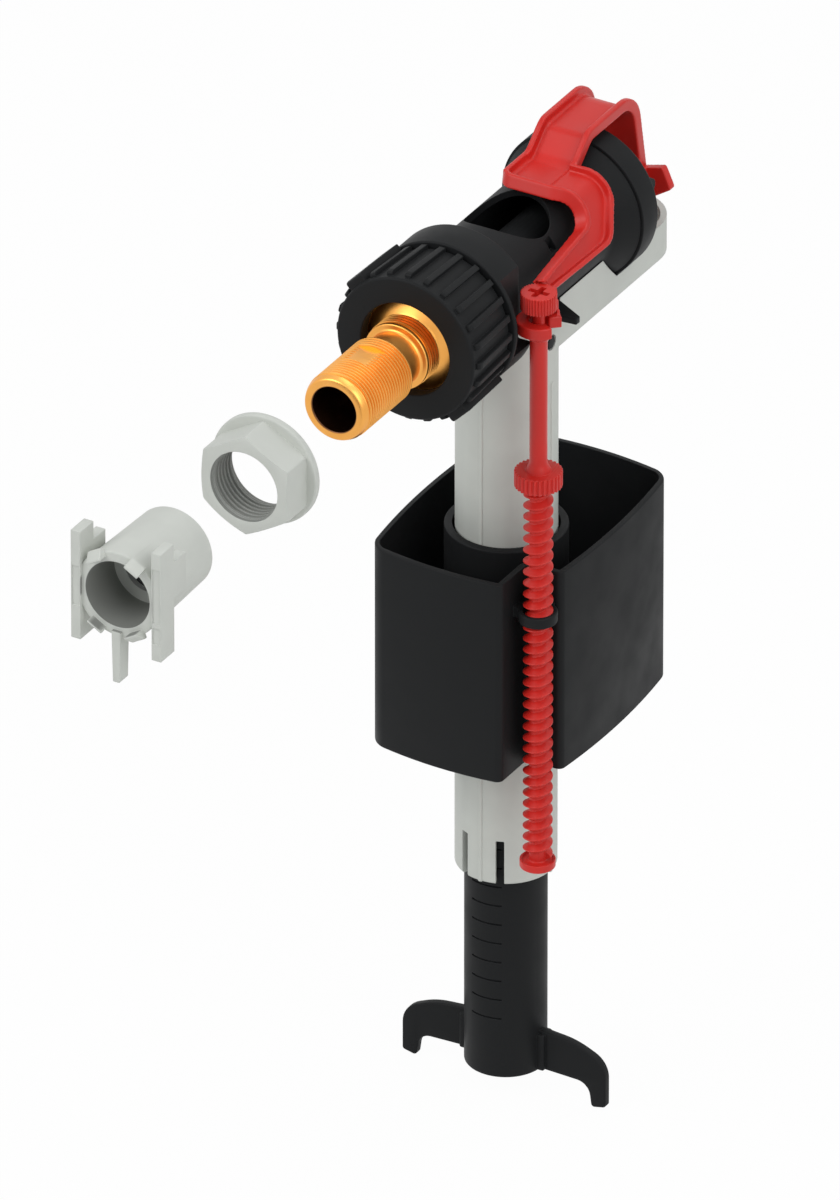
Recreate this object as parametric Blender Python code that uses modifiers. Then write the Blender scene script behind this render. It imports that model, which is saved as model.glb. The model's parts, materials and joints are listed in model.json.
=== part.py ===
"""Toilet fill valve: a side inlet, a lever worked by a float cup, and a riser with a telescopic foot.

Metres. The origin is the centre of the wall seat, on the inlet's axis. +Y runs into the cistern,
+Z is up, and X runs across. The riser hangs RISER_Y behind the wall seat.
"""
import math

import bmesh
import bpy
from mathutils import Matrix, Vector

# Clearances
SEAT_GAP = 0.0003          # between pieces that rest on each other
RUN_GAP = 0.0004           # round a piece that slides or turns
CUT_PAST = 0.001           # how far a cutter runs past the face it opens

# Inlet line, measured along Y from the wall seat
RISER_Y = 0.0463           # wall seat to the riser's axis
NIPPLE_LENGTH = 0.0373     # front end to the back face of the nipple's flange
NIPPLE_THREAD_R = 0.00833
NIPPLE_BORE_R = 0.00565
NIPPLE_END_CHAMFER = 0.0006
NIPPLE_NECK_R = 0.0066
NIPPLE_NECK_START = 0.0104  # ahead of the seat
NIPPLE_NECK_LENGTH = 0.0062
NIPPLE_FLANGE_T = 0.0018
NIPPLE_FLAT_DEPTH = 0.0009
NIPPLE_FLAT_LENGTH = 0.0065

UNION_FACE_R = 0.0179
UNION_RIB_R = 0.0196
UNION_RIB_R_BACK = 0.0186
UNION_RIBS = 24
UNION_RIB_WIDTH = 0.0019
UNION_LENGTH = 0.0174
UNION_FRONT_WALL = 0.0033
UNION_OPENING_R = 0.0103
UNION_WALL = 0.0024

WASHER_T = 0.0015
STRAINER_LENGTH = 0.012
STRAINER_WALL = 0.0008
STRAINER_SLOTS = 6
LIMITER_T = 0.003
LIMITER_HOLE_R = 0.0022

# Valve housing, a tube along Y. Stations marked "from the riser" are from its axis
TUBE_R = 0.0138
TUBE_WALL = 0.0016
COLLAR_R = 0.0186
COLLAR_END = -0.0190       # from the riser
POCKET_PROUD = 0.0001      # the pocket that lets the lever's clip pass, out from the tube
POCKET_LOW_Z = -0.0064
CONE_START = 0.0234        # from the riser
CONE_END = 0.0300          # from the riser
HEAD_R = 0.0182
HEAD_SPIGOT_R = 0.0169
HEAD_SPIGOT_LENGTH = 0.0043
PORT_R = 0.00975           # open air inlet over the riser
OUTLET_SPIGOT_WALL = 0.0014
OUTLET_SPIGOT_Z = -0.0230
SNAP_NUB_R = 0.0016
SNAP_NUB_Z = -0.0176
TAB_TOP_Z = -0.0080
TAB_T = 0.0010
TAB_REACH = 0.0059         # past the tube
TAB_ROOT_IN = 0.0041       # inside the tube's radius
TAB_ROOT_HALF = 0.0045
TAB_TIP_FRONT = -0.0050    # from the riser
TAB_TIP_BACK = -0.0010     # from the riser
INLET_TUBE_R = 0.0066
INLET_TUBE_WALL = 0.0016
INLET_TUBE_SOCKET = 0.0080  # depth of its socket in the collar
O_RING_R = 0.0006

# Cap, diaphragm and pilot
CAP_R = 0.0186
CAP_SKIRT = 0.0060
CAP_CHAMFER = 0.0020
CAP_BACK_WALL = 0.0022
PILOT_Z = -0.0035
PILOT_BOSS_R = 0.0036
PILOT_BOSS_LENGTH = 0.0070
PILOT_HOLE_R = 0.0005
NOZZLE_R = 0.0018
NOZZLE_PROUD = 0.0006
EAR_R = 0.0031
EAR_T = 0.0022
DIAPHRAGM_R = 0.0150
DIAPHRAGM_T = 0.0016
DIAPHRAGM_PLATE_R = 0.0060
DIAPHRAGM_PLATE_T = 0.0007

# Riser and its cradle
RISER_R = 0.0118
RISER_WALL = 0.0019
RISER_BOTTOM_Z = -0.1570
RISER_EDGE_CHAMFER = 0.0006
CRADLE_WALL = 0.0015
CRADLE_FLOOR = 0.0014
CRADLE_BOTTOM_Z = -0.0202
CRADLE_FRONT_TOP_Z = -0.0070
CRADLE_BACK_TOP_Z = -0.0114
CRADLE_END_Y = 0.0496      # centre of the rounded back end, from the riser
SLOT_ANGLE = 23            # degrees each side of the front
SLOT_WIDTH = 0.0013
SLOT_HEIGHT = 0.0115
GROOVE_WIDTH = 0.0006
GROOVE_DEPTH = 0.0003
GROOVE_TOP_Z = -0.0280
GROOVE_BOTTOM_Z = -0.1440

# Foot
FOOT_WALL = 0.0015
FOOT_SHOWN = 0.0527         # how far it comes out of the riser
FOOT_INSIDE = 0.0363        # how much of it stays in the riser
NOTCHES = 12
NOTCH_PITCH = 0.0050
NOTCH_HEIGHT = 0.0006
NOTCH_DEPTH = 0.0007
NOTCH_LOW = 0.0155          # the lowest notch, above the foot's lower end
HOOK_T = 0.0022
HOOK_REACH = 0.0269
HOOK_TIP_T = 0.0037
HOOK_TIP_DROP = 0.0060      # below the foot's lower end
HOOK_CROWN = 0.0061         # heights of the hook's back above that end, from its reach to its root
HOOK_SHOULDER = 0.0097
HOOK_SHOULDER_IN = 0.0083   # the shoulder, in from the reach
HOOK_TOP = 0.0105
HOOK_UNDER = 0.0004
HOOK_EDGE_R = 0.0008
HOOK_INNER_R = 0.0050
HOOK_CROWN_R = 0.0060
HOOK_SHOULDER_R = 0.0200
HOOK_ROOT_T = 0.0044
HOOK_ROOT_PROUD = 0.0016    # out from the foot
HOOK_ROOT_HEIGHT = 0.0098

# Lever, a channel moulding. Its web is against the housing and its flanges stand outwards
LEVER_DEPTH = 0.0029
LEVER_WEB = 0.0012
LEVER_FLANGE = 0.0012
LEVER_HALF_WIDTH = 0.0067
LEVER_CLEARANCE = 0.0010   # between the housing's tube and the crossbar
CROSSBAR_FRONT = 0.0070    # from the riser
CROSSBAR_BACK = 0.0198     # from the riser
BEND_START_X = 0.0089
BEND_RADIUS = 0.0040       # inside face
BEND_ANGLE = 57            # degrees
ARM_UPPER_BACK_Z = 0.00986  # heights that the arm's inner face comes down to, at the crossbar
ARM_UPPER_FRONT_Z = 0.00826  # the same, at the clip
ARM_LOWER_Z = 0.00357
LEVER_CORNER_R = 0.0035
ARM_INNER_R = 0.0030
ARM_OUTER_R = 0.0075
ARM_END_R = 0.0008
ARCH_FOOT_BACK = 0.0200    # side outline of the arch's outer face, from the riser
ARCH_FRONT_TOP = (0.0263, 0.0084)   # the same, and above the crossbar's inner face
ARCH_BACK_TOP = (0.0415, 0.0086)
ARCH_SHOULDER = (0.0447, 0.0074)
ARCH_LEG_TOP = (0.0497, 0.0020)
ARCH_LEG_FOOT = (0.0543, -0.0092)   # the same, and above the hinge
ARCH_CORNER_R = 0.0020
HINGE_Y = 0.0445           # from the riser
HINGE_Z = 0.0015
HINGE_PIN_R = 0.0015
HINGE_PIN_HEAD_R = 0.0019
HINGE_PIN_END_X = 0.0123
HINGE_PIN_FIT = 0.0001
EYE_R = 0.0030
EYE_T = 0.0016
PAD_R = 0.0025
PAD_T = 0.0015
PAD_HOLDER_R = 0.0035
PAD_POCKET = 0.0010
FINGER_TAB_T = 0.0022
FINGER_TAB_TOP = (0.0045, 0.0011)   # corners, out from the lever's side and above the hinge
FINGER_TAB_TIP = (0.0068, -0.0041)
FINGER_TAB_LOW = (0.0022, -0.0071)
FINGER_TAB_ROOT_HIGH = -0.0005      # above the hinge
FINGER_TAB_ROOT_LOW = -0.0055
FINGER_TAB_EDGE_R = 0.0007

# Spindle
SPINDLE_TRAVEL = 0.0045    # the float lifts it this far to shut the pilot
SPINDLE_OUT = 0.0057       # its axis, out from the housing's tube
SPINDLE_Y = -0.0195        # from the riser
KNOB_R = 0.0042
KNOB_TOP_Z = 0.0071
KNOB_HEIGHT = 0.0038
KNOB_TEETH = 26
KNOB_SLOT_WIDTH = 0.0011
KNOB_SLOT_LENGTH = 0.0058
KNOB_SLOT_DEPTH = 0.0014
NECK_R = 0.0014
SHOULDER_R = 0.0030
SHOULDER_T = 0.0008
ROD_R = 0.00205
WHEEL_R = 0.00555
WHEEL_TOP_Z = -0.0390
WHEEL_HEIGHT = 0.0039
WHEEL_TEETH = 30
SCREW_R = 0.00345
SCREW_BOTTOM_Z = -0.1410
END_DISH_R = 0.00415
END_DISH_T = 0.0018

# Clip at the lever's end, round the spindle's neck
CLIP_R = 0.0053
CLIP_TOP_Z = -0.0009
CLIP_BOTTOM_Z = -0.00285
CLIP_MOUTH_FROM = -23      # degrees from +X
CLIP_MOUTH_TO = 40
CLIP_WALL_FROM = 50
CLIP_WALL_TO = 145
CLIP_WALL_TOP_Z = 0.0048
CLIP_WALL_T = 0.0011
CLIP_BORE_R = 0.0023
CLIP_LEDGE_FROM = 95       # the ledge that the knob hangs on
CLIP_LEDGE_TO = 145

# Float cup
FLOAT_HALF_X = 0.0214
FLOAT_FRONT = -0.0250      # from the riser
FLOAT_BACK = 0.0364        # from the riser
FLOAT_TOP_Z = -0.0677
FLOAT_BOTTOM_Z = -0.1195
FLOAT_WALL = 0.0013
FLOAT_CORNER_R = 0.0040
FLOAT_SIDE_BULGE = 0.0015
FLOAT_NOTCH_SIDE = 0.0057   # the notch's walls, from the spindle's axis
FLOAT_NOTCH_DEPTH = 0.0049
FLOAT_NOTCH_CORNER_R = 0.0015
FLOAT_BORE_GAP = 0.0006     # round the riser
FLOAT_COLLAR_WALL = 0.0019
FLOAT_CLIP_TOP_Z = -0.0757
FLOAT_CLIP_HEIGHT = 0.0027
FLOAT_CLIP_R = 0.0045
FLOAT_RIB_T = 0.0010
FLOAT_RIB_DEPTH = 0.0030

# Counter nut and adapter, taken off and standing in line with the nipple
NUT_FRONT = -0.0721        # from the wall seat
NUT_LENGTH = 0.0107
NUT_ACROSS_FLATS = 0.0220
NUT_FLANGE_R = 0.0136
NUT_FLANGE_T = 0.0018
NUT_CHAMFER = 0.0008
ADAPTER_FRONT = -0.1287    # from the wall seat
ADAPTER_LENGTH = 0.0258
ADAPTER_R_FRONT = 0.0107
ADAPTER_R_BACK = 0.0100
ADAPTER_BORE_R = 0.0083
ADAPTER_STEP_DEPTH = 0.0135
ADAPTER_STEP_T = 0.0015
ADAPTER_STEP_HOLE_R = 0.0055
ADAPTER_BAR_X = 0.0104
ADAPTER_BAR_WIDTH = 0.0025
ADAPTER_BAR_HALF = 0.0138
ADAPTER_BAR_DEPTH = 0.0060
ADAPTER_BAR_STEP = 0.0030
ADAPTER_PANEL_DEPTH = 0.0004
ADAPTER_LEG_Z = -0.0222
ADAPTER_LEG_WIDTH = 0.0024
ADAPTER_LEG_TIP_WIDTH = 0.0018
ADAPTER_LEG_DEPTH = 0.0038
ADAPTER_LUG_REACH = 0.0019
ADAPTER_LUG_WIDTH = 0.0034
ADAPTER_SEAL_T = 0.0018

# Facets
SIDES = 36
SMALL_SIDES = 20
CORNER_STEPS = 5
WELD = 0.000004            # vertices closer than this are one
FLAT_ANGLE = 0.05          # degrees, below which two faces are one


# Outlines

def signed_area(points):
    """Twice the area of an outline, positive when it runs anticlockwise."""
    following = points[1:] + points[:1]
    return sum(a[0] * b[1] - b[0] * a[1] for a, b in zip(points, following))


def rounded(corners, steps=CORNER_STEPS):
    """The points of a closed outline whose corners (u, v, radius) are turned into arcs."""
    points = []
    count = len(corners)
    for index, (u, v, radius) in enumerate(corners):
        here = Vector((u, v))
        before = Vector(corners[index - 1][:2]) - here
        after = Vector(corners[(index + 1) % count][:2]) - here
        if radius <= 0:
            points.append((u, v))
            continue
        half = before.angle(after) / 2
        reach = min(radius / math.tan(half), 0.49 * before.length, 0.49 * after.length)
        radius = reach * math.tan(half)
        centre = here + (before.normalized() + after.normalized()).normalized() * (radius / math.sin(half))
        start = here + before.normalized() * reach - centre
        turn = start.angle_signed(here + after.normalized() * reach - centre)
        for step in range(steps + 1):
            spoke = start.copy()
            spoke.rotate(Matrix.Rotation(-turn * step / steps, 2))
            points.append(tuple(centre + spoke))
    return points


def inset(corners, distance):
    """The corners of an outline moved inwards by a wall, with their radii kept concentric."""
    if signed_area(corners) < 0:
        corners = corners[::-1]
    moved = []
    count = len(corners)
    for index, (u, v, radius) in enumerate(corners):
        here = Vector((u, v))
        come = (here - Vector(corners[index - 1][:2])).normalized()
        leave = (Vector(corners[(index + 1) % count][:2]) - here).normalized()
        inward = Vector((-come.y - leave.y, come.x + leave.x)).normalized()
        mitre = distance / inward.dot(Vector((-come.y, come.x)))
        convex = come.cross(leave) > 0
        if radius > 0:
            radius = max(radius - distance, distance / 4) if convex else radius + distance
        moved.append((u + inward.x * mitre, v + inward.y * mitre, radius))
    return moved


def beside(line, distance):
    """An open line moved sideways, to its right as it is walked."""
    moved = []
    for index, point in enumerate(line):
        here = Vector(point)
        come = (here - Vector(line[max(index - 1, 0)])).normalized()
        leave = (Vector(line[min(index + 1, len(line) - 1)]) - here).normalized()
        if index == 0:
            come = leave
        if index == len(line) - 1:
            leave = come
        side = Vector((come.y + leave.y, -come.x - leave.x)).normalized()
        mitre = distance / side.dot(Vector((come.y, -come.x)))
        moved.append(tuple(here + side * mitre))
    return moved


def arc(centre, radius, start, end, steps):
    """Points on an arc, with angles in degrees."""
    angles = [math.radians(start + (end - start) * step / steps) for step in range(steps + 1)]
    return [(centre[0] + radius * math.cos(a), centre[1] + radius * math.sin(a)) for a in angles]


def sector(centre, inner, outer, start, end, steps):
    """The outline of a ring's sector."""
    return arc(centre, outer, start, end, steps) + arc(centre, inner, end, start, steps)


def toothed(radius, depth, teeth):
    """The outline of a knurled disc."""
    points = []
    for tooth in range(teeth):
        for share, reach in ((0.0, radius), (0.35, radius), (0.55, radius - depth), (0.8, radius - depth)):
            angle = 2 * math.pi * (tooth + share) / teeth
            points.append((reach * math.cos(angle), reach * math.sin(angle)))
    return points


def stadium(half_width, front_centre, back_centre):
    """The plan of a slot with round ends."""
    front = arc((0, front_centre), half_width, 180, 360, SIDES // 2)
    back = arc((0, back_centre), half_width, 0, 180, SIDES // 2)
    return front + back


# Solids

parts = bpy.data.collections.new("toilet_fill_valve")


def placed(name, mesh):
    """An object for a mesh, with doubles merged and faces pointing out."""
    work = bmesh.new()
    work.from_mesh(mesh)
    bmesh.ops.remove_doubles(work, verts=work.verts, dist=1e-6)
    bmesh.ops.recalc_face_normals(work, faces=work.faces)
    work.to_mesh(mesh)
    work.free()
    piece = bpy.data.objects.new(name, mesh)
    parts.objects.link(piece)
    return piece


def applied(piece):
    """The mesh of a piece with its modifiers, or its curve, worked out."""
    bpy.context.view_layer.update()
    graph = bpy.context.evaluated_depsgraph_get()
    return bpy.data.meshes.new_from_object(piece.evaluated_get(graph))


def turned(name, profile, centre=(0, 0, 0), axis="Z", sides=SIDES):
    """A solid turned from a closed profile of (radius, height) about an axis through centre."""
    points = list(profile)
    if signed_area(points) > 0:
        points.reverse()
    links = [(i, (i + 1) % len(points)) for i in range(len(points))]
    links = [(a, b) for a, b in links if points[a][0] > 0 or points[b][0] > 0]
    mesh = bpy.data.meshes.new(name)
    mesh.from_pydata([(radius, 0, height) for radius, height in points], links, [])
    blank = bpy.data.objects.new(name, mesh)
    parts.objects.link(blank)
    screw = blank.modifiers.new("turn", "SCREW")
    screw.steps = sides
    screw.render_steps = sides
    screw.use_merge_vertices = True
    screw.merge_threshold = 1e-5
    result = applied(blank)
    bpy.data.objects.remove(blank)
    turns = {"Z": Matrix(), "Y": Matrix.Rotation(-math.pi / 2, 4, "X"), "X": Matrix.Rotation(math.pi / 2, 4, "Y")}
    result.transform(Matrix.Translation(centre) @ turns[axis])
    return placed(name, result)


def disc(name, radius, low, high, centre=(0, 0), axis="Z", sides=SMALL_SIDES):
    """A plain cylinder, from low to high along its axis."""
    places = {"Z": (centre[0], centre[1], 0), "Y": (centre[0], 0, centre[1]), "X": (0, centre[0], centre[1])}
    return turned(name, [(0, low), (radius, low), (radius, high), (0, high)], places[axis], axis, sides)


def plate(name, outline, low, high, plane="XY"):
    """A flat outline made as thick as low to high, across its plane."""
    curve = bpy.data.curves.new(name, "CURVE")
    curve.dimensions = "2D"
    curve.fill_mode = "BOTH"
    curve.extrude = (high - low) / 2
    spline = curve.splines.new("POLY")
    spline.points.add(len(outline) - 1)
    for point, (u, v) in zip(spline.points, outline):
        point.co = (u, v, 0, 1)
    spline.use_cyclic_u = True
    blank = bpy.data.objects.new(name, curve)
    parts.objects.link(blank)
    mesh = applied(blank)
    bpy.data.objects.remove(blank)
    middle = (high + low) / 2
    frames = {
        "XY": Matrix(((1, 0, 0, 0), (0, 1, 0, 0), (0, 0, 1, middle), (0, 0, 0, 1))),
        "YZ": Matrix(((0, 0, 1, middle), (1, 0, 0, 0), (0, 1, 0, 0), (0, 0, 0, 1))),
        "XZ": Matrix(((1, 0, 0, 0), (0, 0, 1, middle), (0, 1, 0, 0), (0, 0, 0, 1))),
    }
    mesh.transform(frames[plane])
    return placed(name, mesh)


def block(name, low, high):
    """A plain block between two corners."""
    work = bmesh.new()
    bmesh.ops.create_cube(work, size=1)
    size = Vector(high) - Vector(low)
    middle = (Vector(high) + Vector(low)) / 2
    bmesh.ops.scale(work, vec=size, verts=work.verts)
    bmesh.ops.translate(work, vec=middle, verts=work.verts)
    mesh = bpy.data.meshes.new(name)
    work.to_mesh(mesh)
    work.free()
    return placed(name, mesh)


def spun(piece, degrees, centre, axis="Z"):
    """Turn a piece's mesh about an axis through centre."""
    turn = Matrix.Rotation(math.radians(degrees), 4, axis)
    piece.data.transform(Matrix.Translation(centre) @ turn @ Matrix.Translation(-Vector(centre)))
    return piece


def mirrored(piece):
    """A copy of a piece on the other side of the valve's middle plane."""
    mesh = piece.data.copy()
    mesh.transform(Matrix.Scale(-1, 4, (1, 0, 0)))
    mesh.flip_normals()
    return placed(piece.name + "_mirrored", mesh)


def combine(piece, tool, operation):
    """One Boolean step, worked out at once, after which the tool is gone."""
    step = piece.modifiers.new(operation.lower(), "BOOLEAN")
    step.operation = operation
    step.solver = "EXACT"
    step.object = tool
    mesh = applied(piece)
    piece.modifiers.remove(step)
    work = bmesh.new()
    work.from_mesh(mesh)
    bmesh.ops.remove_doubles(work, verts=work.verts, dist=WELD)
    bmesh.ops.dissolve_degenerate(work, edges=work.edges, dist=WELD)
    bmesh.ops.dissolve_limit(work, verts=work.verts, edges=work.edges, angle_limit=math.radians(FLAT_ANGLE))
    work.to_mesh(mesh)
    work.free()
    piece.data = mesh
    bpy.data.objects.remove(tool)


def join(piece, *tools):
    for tool in tools:
        combine(piece, tool, "UNION")


def cut(piece, *tools):
    for tool in tools:
        combine(piece, tool, "DIFFERENCE")


def made(piece, name, material, origin=(0, 0, 0)):
    """Name a finished piece, give it its material and put its origin on its joint."""
    piece.name = name
    piece.data.name = name
    piece.data.materials.clear()
    piece.data.materials.append(material)
    piece.data.transform(Matrix.Translation(-Vector(origin)))
    piece.location = origin
    piece.data.shade_smooth()
    piece.data.set_sharp_from_angle(angle=math.radians(30))
    return piece


def finish(name, colour, roughness, metallic=0.0):
    material = bpy.data.materials.new(name)
    material.use_nodes = True
    shader = material.node_tree.nodes["Principled BSDF"]
    shader.inputs["Base Color"].default_value = (*colour, 1)
    shader.inputs["Roughness"].default_value = roughness
    shader.inputs["Metallic"].default_value = metallic
    return material


# Stations that several pieces share, along Y from the wall seat

def from_riser(distance):
    return RISER_Y + distance


NIPPLE_BACK = UNION_FRONT_WALL + SEAT_GAP + NIPPLE_FLANGE_T
HOUSING_FRONT = NIPPLE_BACK + WASHER_T + 2 * SEAT_GAP
COLLAR_FRONT = UNION_LENGTH + RUN_GAP
SPIGOT_R = UNION_FACE_R - UNION_WALL - RUN_GAP
HOUSING_BORE_R = NIPPLE_BORE_R
SOCKET_BACK = from_riser(COLLAR_END) + TUBE_WALL
SOCKET_FRONT = SOCKET_BACK - INLET_TUBE_SOCKET
HEAD_BACK = from_riser(CONE_END) + SEAT_GAP + HEAD_SPIGOT_LENGTH
CAP_FRONT = from_riser(CONE_END) + 2 * SEAT_GAP
CAP_BACK = CAP_FRONT + CAP_SKIRT + CAP_CHAMFER
BOSS_BACK = CAP_BACK + PILOT_BOSS_LENGTH
NOZZLE_TIP = BOSS_BACK + NOZZLE_PROUD
HINGE = (from_riser(HINGE_Y), HINGE_Z)
LEVER_TURN = SPINDLE_TRAVEL / (HINGE_Y - SPINDLE_Y)
PAD_FACE = NOZZLE_TIP + SEAT_GAP + (HINGE_Z - PILOT_Z) * LEVER_TURN
FOOT_R = RISER_R - RISER_WALL - SEAT_GAP
FOOT_BOTTOM_Z = RISER_BOTTOM_Z - FOOT_SHOWN
FOOT_LENGTH = FOOT_SHOWN + FOOT_INSIDE
LEVER_FACE_Z = TUBE_R + LEVER_CLEARANCE
OUTLET_SPIGOT_R = RISER_R - RISER_WALL - SEAT_GAP
SPINDLE_X = TUBE_R + SPINDLE_OUT
SPINDLE_AXIS = (SPINDLE_X, RISER_Y + SPINDLE_Y, 0)
FLOAT_BORE_R = RISER_R + FLOAT_BORE_GAP
FLOAT_COLLAR_R = FLOAT_BORE_R + FLOAT_COLLAR_WALL
FLOAT_NOTCH_X = SPINDLE_X - FLOAT_NOTCH_SIDE
FLOAT_NOTCH_Y = SPINDLE_AXIS[1] + FLOAT_NOTCH_DEPTH


# Inlet pieces

def nipple_flange_r():
    return SPIGOT_R - RUN_GAP * 4


def make_nipple(material):
    """Threaded tail with an undercut neck, a milled flat, and a flange behind the union nut."""
    front = NIPPLE_BACK - NIPPLE_LENGTH
    neck = -NIPPLE_NECK_START
    neck_end = neck + NIPPLE_NECK_LENGTH
    chamfer = NIPPLE_END_CHAMFER
    flange_front = NIPPLE_BACK - NIPPLE_FLANGE_T
    profile = [
        (NIPPLE_BORE_R, front), (NIPPLE_THREAD_R - chamfer, front), (NIPPLE_THREAD_R, front + 2 * chamfer),
        (NIPPLE_THREAD_R, neck - chamfer), (NIPPLE_NECK_R, neck), (NIPPLE_NECK_R, neck_end),
        (NIPPLE_THREAD_R, neck_end + chamfer), (NIPPLE_THREAD_R, flange_front - chamfer),
        (NIPPLE_THREAD_R + chamfer, flange_front), (nipple_flange_r(), flange_front),
        (nipple_flange_r(), NIPPLE_BACK), (NIPPLE_BORE_R, NIPPLE_BACK),
    ]
    nipple = turned("nipple", profile, axis="Y")
    flat_z = NIPPLE_THREAD_R - NIPPLE_FLAT_DEPTH
    reach = NIPPLE_THREAD_R
    cut(nipple, block("flat", (-reach, neck - NIPPLE_FLAT_LENGTH, flat_z), (reach, neck, 2 * reach)))
    return made(nipple, "nipple", material)


def make_union_nut(material):
    """Ribbed nut with an inner shoulder that draws the nipple's flange onto the housing."""
    bore = SPIGOT_R + RUN_GAP
    shoulder = UNION_FRONT_WALL
    base_back = UNION_FACE_R - (UNION_RIB_R - UNION_RIB_R_BACK)
    profile = [
        (UNION_OPENING_R, 0), (UNION_FACE_R, 0), (base_back, UNION_LENGTH), (bore, UNION_LENGTH),
        (bore, shoulder), (UNION_OPENING_R, shoulder),
    ]
    nut = turned("union_nut", profile, axis="Y", sides=UNION_RIBS * 2)
    inner = base_back - RUN_GAP
    outline = [(inner, 0.0), (UNION_RIB_R, 0.0), (UNION_RIB_R_BACK, UNION_LENGTH), (inner, UNION_LENGTH)]
    for index in range(UNION_RIBS):
        half = UNION_RIB_WIDTH / 2
        rib = plate("rib", [(x, y + SEAT_GAP) for x, y in outline[:2]] + outline[2:], -half, half, "XY")
        join(nut, spun(rib, 360 * index / UNION_RIBS, (0, 0, 0), "Y"))
    return made(nut, "union_nut", material)


def make_union_washer(material):
    low = NIPPLE_BACK + SEAT_GAP
    ring = [(NIPPLE_BORE_R, low), (nipple_flange_r(), low), (nipple_flange_r(), low + WASHER_T),
            (NIPPLE_BORE_R, low + WASHER_T)]
    return made(turned("union_washer", ring, axis="Y"), "union_washer", material)


def make_strainer(material):
    """Slotted cup in the nipple's bore."""
    outer = NIPPLE_BORE_R - SEAT_GAP
    inner = outer - STRAINER_WALL
    back = NIPPLE_BACK
    front = back - STRAINER_LENGTH
    profile = [(0, front), (outer, front), (outer, back), (inner, back), (inner, front + STRAINER_WALL),
               (0, front + STRAINER_WALL)]
    cup = turned("inlet_strainer", profile, axis="Y", sides=SMALL_SIDES)
    margin = STRAINER_LENGTH / 6
    for index in range(STRAINER_SLOTS // 2):
        slot = block("slot", (-2 * outer, front + margin, -STRAINER_WALL), (2 * outer, back - margin, STRAINER_WALL))
        cut(cup, spun(slot, 360 * index / STRAINER_SLOTS, (0, 0, 0), "Y"))
    return made(cup, "inlet_strainer", material)


def make_flow_limiter(material):
    """Ring ahead of the strainer that limits the flow."""
    outer = NIPPLE_BORE_R - SEAT_GAP
    back = NIPPLE_BACK - STRAINER_LENGTH - SEAT_GAP
    ring = [(LIMITER_HOLE_R, back - LIMITER_T), (outer, back - LIMITER_T), (outer, back), (LIMITER_HOLE_R, back)]
    return made(turned("flow_limiter", ring, axis="Y", sides=SMALL_SIDES), "flow_limiter", material)


# Housing

def housing_outside(gap=0.0):
    """The housing's and the cap's outer profile, grown by a gap, as far as the cradle sees it."""
    return [
        (0, from_riser(COLLAR_END) - gap), (TUBE_R + gap, from_riser(COLLAR_END) - gap),
        (TUBE_R + gap, from_riser(CONE_START)), (CAP_R + gap, from_riser(CONE_END) - gap),
        (CAP_R + gap, CAP_FRONT + CAP_SKIRT), (CAP_R + gap - CAP_CHAMFER, CAP_BACK + gap), (0, CAP_BACK + gap),
    ]


def tab_outline(gap=0.0):
    """Plan of the release tab that lies over the cradle's wall."""
    root = TUBE_R - TAB_ROOT_IN
    tip = TUBE_R + TAB_REACH + gap
    return [
        (root, from_riser(-TAB_ROOT_HALF) - gap), (tip, from_riser(TAB_TIP_FRONT) - gap),
        (tip, from_riser(TAB_TIP_BACK) + gap), (root, from_riser(TAB_ROOT_HALF) + gap),
    ]


def make_housing(material):
    """Collar, air port, tube and head in one moulding, with a spigot down into the riser."""
    collar_back = from_riser(COLLAR_END)
    outside = [
        (0, HOUSING_FRONT), (SPIGOT_R, HOUSING_FRONT), (SPIGOT_R, COLLAR_FRONT), (COLLAR_R, COLLAR_FRONT),
        (COLLAR_R, collar_back), (TUBE_R, collar_back), (TUBE_R, from_riser(CONE_START)),
        (HEAD_R, from_riser(CONE_END)), (HEAD_SPIGOT_R, from_riser(CONE_END)), (HEAD_SPIGOT_R, HEAD_BACK),
        (0, HEAD_BACK),
    ]
    housing = turned("housing", outside, axis="Y")
    join(
        housing,
        disc("outlet_spigot", OUTLET_SPIGOT_R, OUTLET_SPIGOT_Z, -TUBE_R / 2, (0, RISER_Y), sides=SIDES),
        plate("release_tab", tab_outline(), TAB_TOP_Z - TAB_T, TAB_TOP_Z),
    )
    for side in (-1, 1):
        reach = sorted((side * OUTLET_SPIGOT_R / 2, side * RISER_R))
        join(housing, disc("snap_nub", SNAP_NUB_R, *reach, (RISER_Y, SNAP_NUB_Z), "X"))
    inside_r = TUBE_R - TUBE_WALL
    inside_head_r = HEAD_SPIGOT_R - 2 * TUBE_WALL
    socket_r = INLET_TUBE_R + SEAT_GAP
    inside = [
        (0, SOCKET_BACK - CUT_PAST), (inside_r, SOCKET_BACK), (inside_r, from_riser(CONE_START)),
        (inside_head_r, from_riser(CONE_END)), (inside_head_r, HEAD_BACK + CUT_PAST), (0, HEAD_BACK + CUT_PAST),
    ]
    socket = [
        (0, HOUSING_FRONT - CUT_PAST), (HOUSING_BORE_R, HOUSING_FRONT - CUT_PAST), (HOUSING_BORE_R, SOCKET_FRONT),
        (socket_r, SOCKET_FRONT), (socket_r, SOCKET_BACK + CUT_PAST), (0, SOCKET_BACK + CUT_PAST),
    ]
    cut(
        housing,
        turned("chamber", inside, axis="Y"),
        turned("socket", socket, axis="Y"),
        disc("air_port", PORT_R, 0, 2 * TUBE_R, (0, RISER_Y), sides=SIDES),
        disc("outlet", OUTLET_SPIGOT_R - OUTLET_SPIGOT_WALL, OUTLET_SPIGOT_Z - CUT_PAST, 0, (0, RISER_Y),
             sides=SIDES),
        block("clip_pocket", (TUBE_R + POCKET_PROUD, COLLAR_FRONT + CUT_PAST, POCKET_LOW_Z),
              (2 * COLLAR_R, collar_back + CUT_PAST, 2 * COLLAR_R)),
    )
    return made(housing, "housing", material)


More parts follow.
